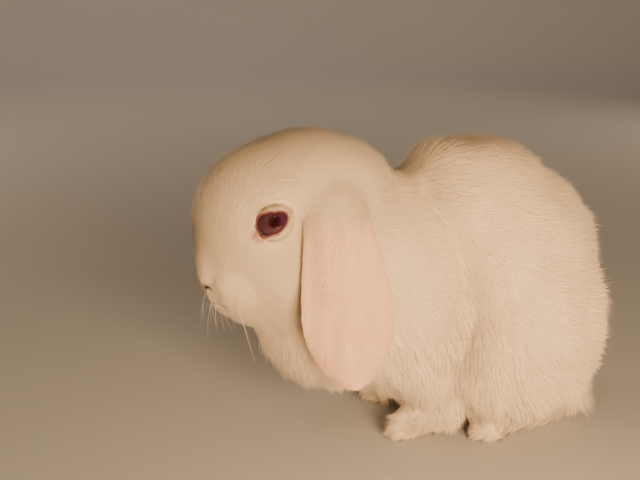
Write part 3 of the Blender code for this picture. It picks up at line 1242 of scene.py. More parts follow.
@dataclass
class Coat:
    """The whole coat: roots scattered over the skin and grown into pieces of limited size."""

    skin: Skin
    most_triangles: int = 190_000
    lock_spacing: float = 3.4

    def unwrap(self) -> Array:
        """An unwrap of the skin's own shape.

        Returns:
            One place in the unit square for each corner of each triangle.
        """
        obj = link_object("unwrap", self.skin.mesh.copy())
        bpy.context.view_layer.objects.active = obj
        obj.select_set(True)
        bpy.ops.object.mode_set(mode="EDIT")
        bpy.ops.mesh.select_all(action="SELECT")
        bpy.ops.uv.smart_project(angle_limit=math.radians(70), island_margin=0.004)
        bpy.ops.object.mode_set(mode="OBJECT")
        mesh = obj.data
        mesh.calc_loop_triangles()
        loops = np.empty(len(mesh.loop_triangles) * 3, np.int32)
        mesh.loop_triangles.foreach_get("loops", loops)
        uv = np.empty(len(mesh.loops) * 2, np.float32)
        mesh.uv_layers.active.data.foreach_get("uv", uv)
        corners = uv.reshape(-1, 2)[loops].reshape(-1, 3, 2).astype(float)
        bpy.data.objects.remove(obj)
        bpy.data.meshes.remove(mesh)
        return corners

    def scatter(self, share: float) -> Growth:
        """Scatters roots evenly over the skin by the zones' density.

        Args:
            share: the part of the full coat to grow, up to 1.

        Returns:
            The roots.
        """
        skin = self.skin
        draw = np.random.default_rng(SEED)
        faces = triangles_of(skin.mesh)
        corner_uv = self.unwrap()
        a, b, c = (skin.points[faces[:, i]] for i in range(3))
        area = np.linalg.norm(np.cross(b - a, c - a), axis=1) / 2
        dense = zone_values(skin.weights, "density")[faces].mean(1)
        dense = dense * np.clip(skin.fur[faces].min(1), 0, 1)
        total = np.cumsum(area * dense * share)
        n = int(total[-1])
        picks = np.searchsorted(total, (np.arange(n) + draw.random(n)) / n * total[-1])
        picks = np.minimum(picks, len(faces) - 1)
        u, v = draw.random(n), draw.random(n)
        u, v = np.where(u + v > 1, 1 - u, u), np.where(u + v > 1, 1 - v, v)
        share3 = np.stack([1 - u - v, u, v], axis=1)

        def blend(values: Array) -> Array:
            """Vertex values at the roots."""
            return (values[faces[picks]] * share3.reshape(n, 3, *[1] * (values.ndim - 1))).sum(1)

        place = blend(skin.points)
        return Growth(
            place=place,
            normal=unit(blend(skin.normals)),
            lie=unit(blend(skin.lie)),
            weights=blend(skin.weights),
            streak=blend(skin.streak),
            lock=blend(skin.lock),
            uv=(corner_uv[picks] * share3[:, :, None]).sum(1),
            scale=self.shortening(place),
        )

    def shortening(self, points: Array) -> Array:
        """How much shorter tufts grow near the eyes, the nose and the ears' tips.

        Args:
            points: places on the skin.

        Returns:
            One share of the full length for each place.
        """
        scale = np.ones(len(points))
        for side in Side:
            reach = np.linalg.norm(points - SPOT.eye(side), axis=1)
            scale *= 0.55 + 0.45 * smoothstep(10, 22, reach)
        reach = np.linalg.norm(points - SPOT.nose, axis=1)
        scale *= 0.5 + 0.5 * smoothstep(3, 13, reach)
        reach = np.linalg.norm(mirrored(points) - SPOT.ear_tip * (1, -1, 1), axis=1)
        return scale * (0.35 + 0.65 * smoothstep(1, 10, reach))

    def build(self, material: bpy.types.Material) -> list[bpy.types.Object]:
        """Grows the coat.

        Args:
            material: the coat's finish.

        Returns:
            The coat's pieces.
        """
        roots = self.scatter(1.0)
        zone = roots.weights.argmax(1)
        groups = {
            "head": (("muzzle", "face", "crown"), DOWN),
            "ears": (("ear",), DOWN),
            "neck": (("neck",), LONG),
            "trunk": (("trunk",), LONG),
            "haunches": (("haunch",), LONG),
            "forelegs": (("foreleg",), LONG),
            "feet": (("forepaw", "hindfoot"), DOWN),
            "tail": (("tail",), LONG),
        }
        made = []
        for number, (group, (zones, shape)) in enumerate(groups.items()):
            wanted = np.flatnonzero(np.isin(zone, [ZONE_NAMES.index(z) for z in zones]))
            wanted = wanted[np.argsort(roots.place[wanted, 0], kind="stable")]
            parts = max(1, math.ceil(len(wanted) * shape.count() / self.most_triangles))
            for part, chosen in enumerate(np.array_split(wanted, parts)):
                name = f"coat_{group}" + (f"_{part + 1}" if parts > 1 else "")
                some = Growth(**{k: v[chosen] for k, v in vars(roots).items()})
                mesh = tufts(name, shape, some, self.lock_spacing, SEED + 10 * number + part)
                mesh.materials.append(material)
                obj = link_object(name, mesh)
                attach(obj, "root")
                log.info("%s: %d tufts, %d triangles", name, len(chosen), len(mesh.polygons))
                made.append(obj)
        return made


# ---------------------------------------------------------------- eyes and lids


@dataclass
class Eye:
    """An eyeball with its clear bulge, and the lids that lie round it.

    Places on the eye are (towards the tail, upward) millimetres as seen along the gaze.
    """

    side: Side
    bulge: float = 0.45
    lid_thickness: float = 0.95
    opening: tuple[tuple[float, float], ...] = (
        (4.5, 2.0), (4.0, 3.3), (2.4, 3.7), (0.0, 3.3), (-3.3, 2.9), (-5.6, 2.2), (-6.6, 0.7), (-6.8, -1.8),
        (-6.1, -4.2), (-4.2, -4.9), (-1.2, -4.3), (1.5, -3.2), (3.1, -1.5), (4.1, 0.2),
    )
    segments: int = 72

    @property
    def centre(self) -> Array:
        """The middle of the ball."""
        return SPOT.eye(self.side)

    @property
    def radius(self) -> float:
        """The ball's radius."""
        return SPOT.eye_radius

    @property
    def axes(self) -> Array:
        """Rows pointing towards the tail, upward, and out along the gaze."""
        s = self.side.value
        rows = np.array([[0.977, s * 0.214, 0.0], [0.056, -s * 0.255, 0.965], [-0.206, s * 0.943, 0.261]])
        return unit(rows)

    def surface(self, angle: Array) -> Array:
        """The ball's radius at an angle from the gaze, in degrees."""
        return self.radius + self.bulge * smoothstep(52, 12, angle)

    def edge(self, turn: Array) -> Array:
        """How wide the lids stand open each way round, in millimetres from the gaze.

        Args:
            turn: angles round the gaze, in radians.

        Returns:
            One distance for each angle.
        """
        places = np.array(self.opening)
        known = np.arctan2(places[:, 1], places[:, 0])
        order = np.argsort(known)
        known, reach = known[order], np.linalg.norm(places, axis=1)[order]
        known = np.concatenate([known - 2 * np.pi, known, known + 2 * np.pi])
        fine = np.linspace(-np.pi, np.pi, 361)
        values = np.interp(fine, known, np.tile(reach, 3))
        kernel = np.hanning(15) / np.hanning(15).sum()
        values = np.convolve(np.tile(values[:-1], 3), kernel, "same")[360:721]  # rounds the corners
        return np.interp((turn + np.pi) % (2 * np.pi) - np.pi, fine, values)

    def out(self, turn: Array, angle: Array, reach: Array) -> Array:
        """Places round the ball.

        Args:
            turn: angles round the gaze, in radians.
            angle: angles from the gaze, in degrees.
            reach: distances from the ball's middle.

        Returns:
            The places.
        """
        a = np.radians(angle)
        local = np.stack([np.sin(a) * np.cos(turn), np.sin(a) * np.sin(turn), np.cos(a)], axis=-1)
        return self.centre + (local * reach[..., None]) @ self.axes

    def grid(self, rings: Array, turns: int, close: bool) -> Array:
        """Triangles over rings of points that go round.

        Args:
            rings: how many rings there are.
            turns: how many points each has.
            close: whether the last ring joins the first.

        Returns:
            Rows of three point numbers.
        """
        faces = []
        count = rings if close else rings - 1
        for r in range(count):
            for t in range(turns):
                a, b = r * turns + t, r * turns + (t + 1) % turns
                c, d = ((r + 1) % rings) * turns + (t + 1) % turns, ((r + 1) % rings) * turns + t
                faces += [(a, b, c), (a, c, d)]
        return np.array(faces)

    def ball_mesh(self) -> bpy.types.Mesh:
        """The eyeball, with how far each place is from the gaze and which way.

        Returns:
            The ball's mesh.
        """
        angle = np.concatenate([np.linspace(1.2, 66, 48), np.linspace(70, 178, 20)])
        turn = np.linspace(0, 2 * np.pi, self.segments, endpoint=False)
        angles, turns = np.meshgrid(angle, turn, indexing="ij")
        points = self.out(turns, angles, self.surface(angles)).reshape(-1, 3)
        faces = self.grid(len(angle), self.segments, False)
        front = self.out(np.zeros(1), np.zeros(1), self.surface(np.zeros(1)))
        back = self.out(np.zeros(1), np.full(1, 180.0), np.full(1, self.radius))
        first, last = len(points), len(points) + 1
        base = len(points) - self.segments
        ring = np.arange(self.segments)
        after = (ring + 1) % self.segments
        caps = np.concatenate([
            np.stack([after, ring, np.full_like(ring, first)], axis=1),
            np.stack([base + ring, base + after, np.full_like(ring, last)], axis=1),
        ])
        points = np.concatenate([points, front, back])
        faces = np.concatenate([faces, caps])
        mesh = mesh_of(f"eye_{self.side.word}_ball", points, outward(points, faces))
        reach = np.concatenate([(np.sin(np.radians(angles)) * self.radius).ravel(), [0.0, 0.0]])
        behind = np.concatenate([(angles > 90).ravel(), [False, True]])
        set_values(mesh, "reach", np.where(behind, 12.0, reach))
        local = (points - self.centre) @ self.axes.T
        set_values(mesh, "tailward", local[:, 0])
        set_values(mesh, "upward", local[:, 1])
        return mesh

    def rim(self, turn: Array) -> Array:
        """How much bare pink rim shows each way round, most at the front corner.

        Args:
            turn: angles round the gaze, in radians.

        Returns:
            One width for each angle, in degrees.
        """
        width = np.full_like(turn, 4.5)
        wider = ((-5.0, 45.0, 4.5), (-90.0, 42.0, 5.0), (-137.0, 20.0, 14.0), (172.0, 36.0, 9.0))
        for at, spread, more in wider:
            gap = np.degrees(np.angle(np.exp(1j * (turn - np.radians(at)))))
            width = width + more * np.exp(-((gap / spread) ** 2))
        return width

    def lid(self) -> "LidBand":
        """The lids as one closed band round the ball.

        Returns:
            The band, from the inner side over the wet edge and the pink rim to the furry outer side.
        """
        turn = np.linspace(0, 2 * np.pi, self.segments, endpoint=False)
        start = np.degrees(np.arcsin(np.clip(self.edge(turn) / self.radius, 0, 0.94)))
        rim, thick, none = self.rim(turn), self.lid_thickness, np.zeros(self.segments)
        # Each ring is (angle, rise over the ball, pinkness, painted shade, fur); the rings tucked against the
        # ball and the wet edge carry painted shade where the lid meets the eye.
        rings = [
            (start + 9.0, 0.02, 1.0, 0.6, 0.0), (start + 3.0, 0.10, 1.0, 0.8, 0.0),
            (start + 0.6, 0.16, 1.0, 0.8, 0.0), (start, 0.34, 1.0, 0.55, 0.0),
        ]
        for share, rise, pink, fur in (
            (0.08, 0.60, 1.0, 0.0), (0.3, 0.80, 1.0, 0.0), (0.6, 0.88, 0.9, 0.0), (0.9, 0.92, 0.65, 0.6),
            (1.1, 0.95, 0.35, 1.0), (1.35, 0.98, 0.1, 1.0),
        ):
            rings.append((start + rim * share, rise * thick, pink, 0.0, fur))
        last = rings[-1][0]
        outer = ((0.35, 60.0, 0.80), (0.7, 68.0, 0.15), (1.0, 77.0, -1.4), (1.0, 84.0, -3.0))
        for share, least, rise in outer:
            angle = np.maximum(last + 2.0, last + (least - last) * share) if share < 1 else none + least
            rings.append((angle, rise * thick, 0.0, 0.0, float(rise > -2)))
        rings.append((none + 70.0, -3.6, 0.0, 0.0, 0.0))
        places = [self.out(turn, angle, self.surface(angle) + rise) for angle, rise, *_ in rings]
        points = np.concatenate(places)
        faces = outward(points, self.grid(len(rings), self.segments, True))
        pink, dark, fur = (np.concatenate([none + ring[k] for ring in rings]) for k in (2, 3, 4))
        corner = np.exp(-((np.degrees(np.angle(np.exp(1j * (turn - np.radians(-143))))) / 24) ** 2))
        corner = np.tile(corner, len(rings))
        pink, fur = np.maximum(pink, 0.75 * corner), fur * smoothstep(0.75, 0.35, corner)
        return LidBand(points, faces, pink, dark, fur)

    def lash_roots(self, count: int, draw: np.random.Generator) -> "Roots":
        """Where the lashes grow, along the upper lid.

        Args:
            count: how many there are.
            draw: the source of random numbers.

        Returns:
            The lashes' roots.
        """
        turn = np.radians(np.linspace(38, 158, count)) + draw.normal(0, 0.02, count)
        angle = np.degrees(np.arcsin(np.clip(self.edge(turn) / self.radius, 0, 0.94))) + 0.8 * self.rim(turn)
        place = self.out(turn, angle, self.surface(angle) + 0.85 * self.lid_thickness)
        sideways = 0.35 * np.cos(turn) + draw.normal(0, 0.12, count)
        local = np.stack([sideways, 0.30 + 0 * turn, 1.0 + 0 * turn], axis=1)
        aim = unit(local @ self.axes)
        sag = np.tile(-0.4 * self.axes[1] + np.array([0.0, 0.0, -1.0]), (count, 1))
        return Roots(place, aim, sag, draw.uniform(0.7, 1.2, count))


@dataclass
class LidBand:
    """The shape of an eye's lids, with how pink and furry each place is and how much shade is painted on it.
    """

    points: Array
    faces: Array
    pink: Array
    dark: Array
    fur: Array


def outward(points: Array, faces: Array) -> Array:
    """Turns a closed shape's faces if the shape is inside out.

    Args:
        points: the shape's vertices.
        faces: rows of three vertex numbers.

    Returns:
        The faces, pointing out.
    """
    a, b, c = (points[faces[:, i]] for i in range(3))
    volume = np.einsum("ij,ij->i", a - points.mean(0), np.cross(b - points.mean(0), c - points.mean(0))).sum()
    return faces if volume > 0 else faces[:, ::-1]


# ---------------------------------------------------------------- whiskers, lashes and claws


@dataclass
class Roots:
    """Points that something thin grows from, with its aim, the way it bends and its relative length."""

    place: Array
    aim: Array
    sag: Array
    long: Array

    def joined(self, other: "Roots") -> "Roots":
        """These roots and the others."""
        return Roots(*(np.concatenate([v, vars(other)[k]]) for k, v in vars(self).items()))


@dataclass(frozen=True)
class Sprouts:
    """Thin curved horns or hairs that grow from points, made by one node tree.

    Lengths and radii are in millimetres, and bend is the tip's sideways reach for a length of 1.
    """

    name: str
    length: float
    root_radius: float
    tip_radius: float
    bend: float
    steps: int = 8
    sides: int = 5
    spread: float = 0.15

    def tree(self) -> bpy.types.NodeTree:
        """Builds the node tree with its named inputs.

        Returns:
            The tree.
        """
        tree = bpy.data.node_groups.new(self.name, "GeometryNodeTree")
        kinds = {
            "Roots": "Geometry", "Length": "Float", "Root Radius": "Float", "Tip Radius": "Float",
            "Bend": "Float", "Spread": "Float", "Steps": "Int", "Sides": "Int", "Seed": "Int",
            "Material": "Material",
        }
        for label, kind in kinds.items():
            tree.interface.new_socket(label, in_out="INPUT", socket_type=f"NodeSocket{kind}")
        tree.interface.new_socket("Grown", in_out="OUTPUT", socket_type="NodeSocketGeometry")
        given = add_node(tree, "NodeGroupInput").outputs
        end = add_node(tree, "ShaderNodeCombineXYZ", X=given["Bend"], Y=0.0, Z=0.95)
        path = add_node(
            tree, "GeometryNodeCurveQuadraticBezier", None,
            Resolution=given["Steps"], Start=(0, 0, 0), Middle=(0, 0, 0.5), End=end.outputs[0],
        )
        root, tip = (
            add_node(
                tree, "ShaderNodeMath", {"operation": "DIVIDE"}, Value=given[width], Value_001=given["Length"]
            )
            for width in ("Root Radius", "Tip Radius")
        )
        along = add_node(tree, "GeometryNodeSplineParameter")
        taper = add_node(
            tree, "ShaderNodeMapRange", None,
            Value=along.outputs["Factor"], To_Min=root.outputs[0], To_Max=tip.outputs[0],
        )
        ring = add_node(tree, "GeometryNodeCurvePrimitiveCircle", None, Resolution=given["Sides"], Radius=1.0)
        horn = add_node(
            tree, "GeometryNodeCurveToMesh", None,
            Curve=path.outputs[0], Profile_Curve=ring.outputs[0], Scale=taper.outputs[0], Fill_Caps=True,
        )
        names = {}
        for label, kind in (("aim", "FLOAT_VECTOR"), ("sag", "FLOAT_VECTOR"), ("long", "FLOAT")):
            names[label] = add_node(tree, "GeometryNodeInputNamedAttribute", {"data_type": kind}, Name=label)
        stand = add_node(
            tree, "FunctionNodeAlignRotationToVector", {"axis": "Z"}, Vector=names["aim"].outputs[0]
        )
        turned = add_node(
            tree, "FunctionNodeAlignRotationToVector", {"axis": "X", "pivot_axis": "Z"},
            Rotation=stand.outputs[0], Vector=names["sag"].outputs[0],
        )
        least = add_node(
            tree, "ShaderNodeMath", {"operation": "SUBTRACT"}, Value=1.0, Value_001=given["Spread"]
        )
        most = add_node(tree, "ShaderNodeMath", {"operation": "ADD"}, Value=1.0, Value_001=given["Spread"])
        chance = add_node(
            tree, "FunctionNodeRandomValue", {"data_type": "FLOAT"},
            Min=least.outputs[0], Max=most.outputs[0], Seed=given["Seed"],
        )
        size = add_node(
            tree, "ShaderNodeMath", {"operation": "MULTIPLY"},
            Value=given["Length"], Value_001=names["long"].outputs[0],
        )
        sized = add_node(
            tree, "ShaderNodeMath", {"operation": "MULTIPLY"},
            Value=size.outputs[0], Value_001=chance.outputs[1],
        )
        placed = add_node(
            tree, "GeometryNodeInstanceOnPoints", None,
            Points=given["Roots"], Instance=horn.outputs[0],
            Rotation=turned.outputs[0], Scale=sized.outputs[0],
        )
        real = add_node(tree, "GeometryNodeRealizeInstances", None, Geometry=placed.outputs[0])
        smooth = add_node(tree, "GeometryNodeSetShadeSmooth", None, Geometry=real.outputs[0])
        done = add_node(
            tree, "GeometryNodeSetMaterial", None, Geometry=smooth.outputs[0], Material=given["Material"]
        )
        add_node(tree, "NodeGroupOutput", None, Grown=done.outputs[0])
        return tree

    def grow(self, roots: Roots, material: bpy.types.Material) -> bpy.types.Object:
        """Grows a horn or hair from every root.

        Args:
            roots: where they grow.
            material: their finish.

        Returns:
            One object with a plain mesh.
        """
        mesh = bpy.data.meshes.new("roots")
        mesh.vertices.add(len(roots.place))
        mesh.vertices.foreach_set("co", (roots.place * MM).astype(np.float32).ravel())
        for label in ("aim", "sag"):
            layer = mesh.attributes.new(label, "FLOAT_VECTOR", "POINT")
            layer.data.foreach_set("vector", unit(vars(roots)[label]).astype(np.float32).ravel())
        set_values(mesh, "long", roots.long)
        holder = link_object("roots", mesh)
        tree = self.tree()
        values = {
            "Length": self.length * MM, "Root Radius": self.root_radius * MM,
            "Tip Radius": self.tip_radius * MM, "Bend": self.bend, "Spread": self.spread,
            "Steps": self.steps, "Sides": self.sides, "Seed": SEED, "Material": material,
        }
        modifier = holder.modifiers.new("grow", "NODES")
        modifier.node_group = tree
        for socket in tree.interface.items_tree:
            if socket.item_type == "SOCKET" and socket.name in values:
                modifier[socket.identifier] = values[socket.name]
        plain = evaluated_mesh(holder)
        bpy.data.objects.remove(holder)
        bpy.data.meshes.remove(mesh)
        plain.name = self.name
        obj = link_object(self.name, plain)
        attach(obj, "root")
        log.info("%s: %d grown, %d faces", self.name, len(roots.place), len(plain.polygons))
        return obj


@dataclass
class Trimmings:
    """The whiskers, brow hairs, lashes and claws."""

    skin: Skin
    eyes: dict[Side, Eye]
    whisker_count: int = 20
    lash_count: int = 26

    def on_skin(self, places: Array) -> tuple[Array, Array]:
        """The nearest places on the skin and the skin's normals there.

        Args:
            places: places near the skin.

        Returns:
            (places on the skin, its normals).
        """
        tree = BVHTree.FromPolygons(
            [Vector(p) for p in self.skin.points],
            [tuple(int(i) for i in f) for f in triangles_of(self.skin.mesh)],
        )
        found = [tree.find_nearest(Vector(p)) for p in places]
        return np.array([f[0] for f in found]), np.array([f[1] for f in found])

    def whisker_roots(self) -> Roots:
        """Four rows of whiskers on each whisker pad, longest at the back, and a few above each eye.

        Returns:
            The whiskers' roots.
        """
        draw = np.random.default_rng(SEED + 1)
        near, back = [], []
        for side in Side:
            for i in range(self.whisker_count):
                row, column = i % 4, i // 4
                rest = column / max(1, self.whisker_count // 4 - 1)
                out, up = side.value * (6.0 + 7 * rest), -6.2 + 2.6 * row - 0.8 * rest
                near.append(SPOT.nose + (4 + 8.5 * rest, out, up))
                back.append(rest)
        near, back = np.array(near) + draw.normal(0, 0.35, (len(near), 3)), np.array(back)
        place, normal = self.on_skin(near)
        side = side_sign(place)[:, None]
        aim = 0.55 * normal + side * np.array([[0.0, 0.45, 0.0]]) + np.array([[-0.10, 0.0, -0.75]])
        aim = aim + back[:, None] * np.array([[0.45, 0.0, -0.05]]) + draw.normal(0, 0.10, (len(place), 3))
        sag = np.tile([0.35, 0.0, -1.0], (len(place), 1))
        long = (0.65 + 0.55 * back) * draw.uniform(0.8, 1.1, len(place))
        pads = Roots(place - normal * 0.5, unit(aim), sag, long)
        brows = [
            SPOT.eye(s) + np.array([-3.0 + 2.4 * i, s.value * 4.0, 10.0 - 0.3 * i])
            for s in Side
            for i in range(3)
        ]
        place, normal = self.on_skin(np.array(brows))
        side = side_sign(place)[:, None]
        aim = 0.7 * normal + side * np.array([[0.0, 0.3, 0.0]]) + np.array([[0.15, 0.0, 0.5]])
        more = Roots(place, unit(aim), np.tile([0.6, 0.0, -0.8], (len(place), 1)), np.full(len(place), 0.5))
        return pads.joined(more)

    def claw_roots(self) -> Roots:
        """One claw at the front of each toe, curving down.

        Returns:
            The claws' roots.
        """
        place, aim = [], []
        for side in Side:
            for foot in ("forepaw", "hindfoot"):
                for middle, radii, yaw in toe_places(foot, side, self.skin.toe_count):
                    turn = math.radians(yaw)
                    ahead = np.array([-math.cos(turn), -math.sin(turn), 0.0])
                    place.append(middle + ahead * (radii[0] - 1.9) + (0, 0, 0.7))
                    aim.append(ahead + (0, 0, 0.05))
        down = np.tile([0.0, 0.0, -1.0], (len(place), 1))
        return Roots(np.array(place), unit(np.array(aim)), down, np.ones(len(place)))

    def build(self, finishes: "Finishes") -> list[bpy.types.Object]:
        """Grows them all.

        Args:
            finishes: the rabbit's materials.

        Returns:
            The grown pieces.
        """
        draw = np.random.default_rng(SEED + 2)
        lashes = [eye.lash_roots(self.lash_count, draw) for eye in self.eyes.values()]
        whisker = Sprouts(
            "whiskers", length=33.0, root_radius=0.13, tip_radius=0.03, bend=0.30, steps=10, sides=5
        )
        lash = Sprouts("lashes", length=4.6, root_radius=0.09, tip_radius=0.02, bend=0.30, steps=6, sides=4)
        claw = Sprouts(
            "claws", length=6.0, root_radius=0.85, tip_radius=0.12, bend=0.34, steps=8, sides=10, spread=0.08
        )
        return [
            whisker.grow(self.whisker_roots(), finishes.whisker),
            lash.grow(lashes[0].joined(lashes[1]), finishes.whisker),
            claw.grow(self.claw_roots(), finishes.claw),
        ]


# ---------------------------------------------------------------- finishes


@dataclass
class Finishes:
    """Every material of the rabbit, made once."""

    coat: bpy.types.Material = field(init=False)
    skin: bpy.types.Material = field(init=False)
    eye: bpy.types.Material = field(init=False)
    whisker: bpy.types.Material = field(init=False)
    claw: bpy.types.Material = field(init=False)

    def __post_init__(self) -> None:
        """Makes the materials."""
        self.coat = CoatFinish().make()
        self.skin = SkinFinish().make()
        self.eye = EyeFinish().make()
        self.whisker = HornFinish("white_whisker_keratin", "F4EEE6", 0.35, 0.0).make()
        self.claw = HornFinish("pale_claw_horn", "D9BFA6", 0.38, 0.15).make()


@dataclass(frozen=True)
class CoatFinish:
    """Rabbit hair: white wool with a warm cast, soft and matt, with painted shade that makes it creamier and
    darker towards the root.
    """

    root: str = "F0DCBE"
    tip: str = "FBEDD3"
    warm: str = "F3DFC0"
    ear_tint: str = "F8D8BF"
    streak: str = "BE9070"

    def make(self) -> bpy.types.Material:
        """Builds the material.

        Returns:
            The material.
        """
        # White hair scatters light, so it is matt, with a faint sheen along its edges.
        material, tree, shader = new_material("white_rabbit_hair")
        set_sockets(shader, Roughness=0.62, IOR=1.5, Sheen_Weight=0.25, Sheen_Roughness=0.5)
        along = add_node(tree, "ShaderNodeAttribute", {"attribute_name": "along"})
        shade = add_node(tree, "ShaderNodeAttribute", {"attribute_name": "shade"})
        ear = add_node(tree, "ShaderNodeAttribute", {"attribute_name": "ear"})
        # Painted shade: each tuft is darker and creamier towards its root, where the tufts shade each other.
        rise = add_node(
            tree, "ShaderNodeMapRange", None, Value=along.outputs["Fac"], From_Min=0.0, From_Max=0.7
        )
        length = add_node(
            tree, "ShaderNodeMix", {"data_type": "RGBA"},
            Factor_Float=rise.outputs[0], A_Color=linear(self.root), B_Color=linear(self.tip),
        )
        some = add_node(
            tree, "ShaderNodeMath", {"operation": "MULTIPLY"}, Value=shade.outputs["Fac"], Value_001=0.6
        )
        varied = add_node(
            tree, "ShaderNodeMix", {"data_type": "RGBA"},
            Factor_Float=some.outputs[0], A_Color=length.outputs[2], B_Color=linear(self.warm),
        )
        less = add_node(
            tree, "ShaderNodeMath", {"operation": "MULTIPLY"}, Value=ear.outputs["Fac"], Value_001=0.8
        )
        pinker = add_node(
            tree, "ShaderNodeMix", {"data_type": "RGBA"},
            Factor_Float=less.outputs[0], A_Color=varied.outputs[2], B_Color=linear(self.ear_tint),
        )
        streak = add_node(tree, "ShaderNodeAttribute", {"attribute_name": "streak"})
        streaked = add_node(
            tree, "ShaderNodeMix", {"data_type": "RGBA"},
            Factor_Float=streak.outputs["Fac"], A_Color=pinker.outputs[2], B_Color=linear(self.streak),
        )
        tree.links.new(streaked.outputs[2], shader.inputs["Base Color"])
        return material


@dataclass(frozen=True)
class SkinFinish:
    """Fine-haired skin: cream where the coat covers it, pink in the ears, and wet pink at nose and lids, with
    painted shade in the nostrils, along the lips and at the lids' inner edge.
    """

    cream: str = "F5E3C6"
    ear: str = "EFBFA5"
    bare: str = "7A4D52"
    # The colour of the painted shade in the nostrils, along the lips and at the lids' inner edge.
    pit: str = "3A1512"

    def make(self) -> bpy.types.Material:
        """Builds the material.

        Returns:
            The material.
        """
        # Skin under short down: matt, and smoother where it is bare and moist.
        material, tree, shader = new_material("pink_rabbit_skin")
        set_sockets(shader, IOR=1.4, Subsurface_Weight=0.12, Subsurface_Scale=0.0015)
        place = add_node(tree, "ShaderNodeTexCoord")
        pink = add_node(tree, "ShaderNodeAttribute", {"attribute_name": "pink"})
        ear = add_node(tree, "ShaderNodeAttribute", {"attribute_name": "ear"})
        # Blotches 8 mm across, and down that runs up and down the ear in lines 0.5 mm apart.
        blotch = add_node(
            tree, "ShaderNodeTexNoise", None, Vector=place.outputs["Object"], Scale=125.0, Detail=3.0
        )
        stretch = add_node(
            tree, "ShaderNodeMapping", None, Vector=place.outputs["Object"], Scale=(1.0, 1.0, 0.12)
        )
        down = add_node(
            tree, "ShaderNodeTexNoise", None, Vector=stretch.outputs[0], Scale=1800.0, Detail=2.0
        )
        faded = add_node(
            tree, "ShaderNodeMapRange", None,
            Value=blotch.outputs["Fac"], From_Min=0.3, From_Max=0.7, To_Min=0.65,
        )
        much = add_node(
            tree, "ShaderNodeMath", {"operation": "MULTIPLY"},
            Value=ear.outputs["Fac"], Value_001=faded.outputs[0],
        )
        eared = add_node(
            tree, "ShaderNodeMix", {"data_type": "RGBA"},
            Factor_Float=much.outputs[0], A_Color=linear(self.cream), B_Color=linear(self.ear),
        )
        full = add_node(
            tree, "ShaderNodeMix", {"data_type": "RGBA"},
            Factor_Float=pink.outputs["Fac"], A_Color=eared.outputs[2], B_Color=linear(self.bare),
        )
        # Painted shade: the nostrils, the lips' creases and the lids' inner edge turn a deep dark red.
        dark = add_node(tree, "ShaderNodeAttribute", {"attribute_name": "dark"})
        with_painted_shade = add_node(
            tree, "ShaderNodeMix", {"data_type": "RGBA"},
            Factor_Float=dark.outputs["Fac"], A_Color=full.outputs[2], B_Color=linear(self.pit),
        )
        rough = add_node(
            tree, "ShaderNodeMapRange", None, Value=pink.outputs["Fac"], To_Min=0.7, To_Max=0.28
        )
        bump = add_node(
            tree, "ShaderNodeBump", None, Strength=0.35, Distance=0.0002, Height=down.outputs["Fac"]
        )
        tree.links.new(with_painted_shade.outputs[2], shader.inputs["Base Color"])
        tree.links.new(rough.outputs[0], shader.inputs["Roughness"])
        tree.links.new(bump.outputs[0], shader.inputs["Normal"])
        return material


@dataclass(frozen=True)
class EyeFinish:
    """A ruby eye: a dark red pupil in a dull red iris, wet all over.

    stops are the colours outward from the gaze, as shares of reach, which is in millimetres.
    """

    stops: tuple[tuple[float, str], ...] = (
        (0.0, "220409"), (0.17, "28060C"), (0.235, "3A121E"), (0.33, "50303C"), (0.50, "4E2F40"),
        (0.64, "3E2242"), (0.74, "604650"), (1.0, "A07A7C"),
    )
    rear: str = "321C48"
    reach: float = 10.0

    def make(self) -> bpy.types.Material:
        """Builds the material.

        Returns:
            The material.
        """
        # A wet eyeball is mirror-smooth, so a clear coat carries the reflection of the lights.
        material, tree, shader = new_material("ruby_eyeball")
        set_sockets(shader, Roughness=0.25, IOR=1.38, Coat_Weight=0.6, Coat_Roughness=0.05)
        reach = add_node(tree, "ShaderNodeAttribute", {"attribute_name": "reach"})
        tail = add_node(tree, "ShaderNodeAttribute", {"attribute_name": "tailward"})
        upward = add_node(tree, "ShaderNodeAttribute", {"attribute_name": "upward"})
        turn = add_node(
            tree, "ShaderNodeMath", {"operation": "ARCTAN2"},
            Value=upward.outputs["Fac"], Value_001=tail.outputs["Fac"],
        )
        spokes = add_node(tree, "ShaderNodeCombineXYZ", X=turn.outputs[0], Y=0.0, Z=0.0)
        fibres = add_node(tree, "ShaderNodeTexNoise", None, Vector=spokes.outputs[0], Scale=14.0, Detail=4.0)
        jitter = add_node(
            tree, "ShaderNodeMapRange", None, Value=fibres.outputs["Fac"], To_Min=-0.55, To_Max=0.55
        )
        uneven = add_node(
            tree, "ShaderNodeMath", {"operation": "ADD"},
            Value=reach.outputs["Fac"], Value_001=jitter.outputs[0],
        )
        scaled = add_node(
            tree, "ShaderNodeMath", {"operation": "DIVIDE"}, Value=uneven.outputs[0], Value_001=self.reach
        )
        ramp = add_node(tree, "ShaderNodeValToRGB", None, Fac=scaled.outputs[0])
        colours = ramp.color_ramp.elements
        while len(colours) < len(self.stops):
            colours.new(0.5)
        for element, (at, _) in zip(colours, self.stops):
            element.position = at
        for element, (_, colour) in zip(colours, self.stops):
            element.color = linear(colour)
        rear = add_node(
            tree, "ShaderNodeMapRange", None,
            Value=tail.outputs["Fac"], From_Min=0.5, From_Max=5.0, To_Max=0.55,
        )
        purple = add_node(
            tree, "ShaderNodeMix", {"data_type": "RGBA"},
            Factor_Float=rear.outputs[0], A_Color=ramp.outputs[0], B_Color=linear(self.rear),
        )
        tree.links.new(purple.outputs[2], shader.inputs["Base Color"])
        return material


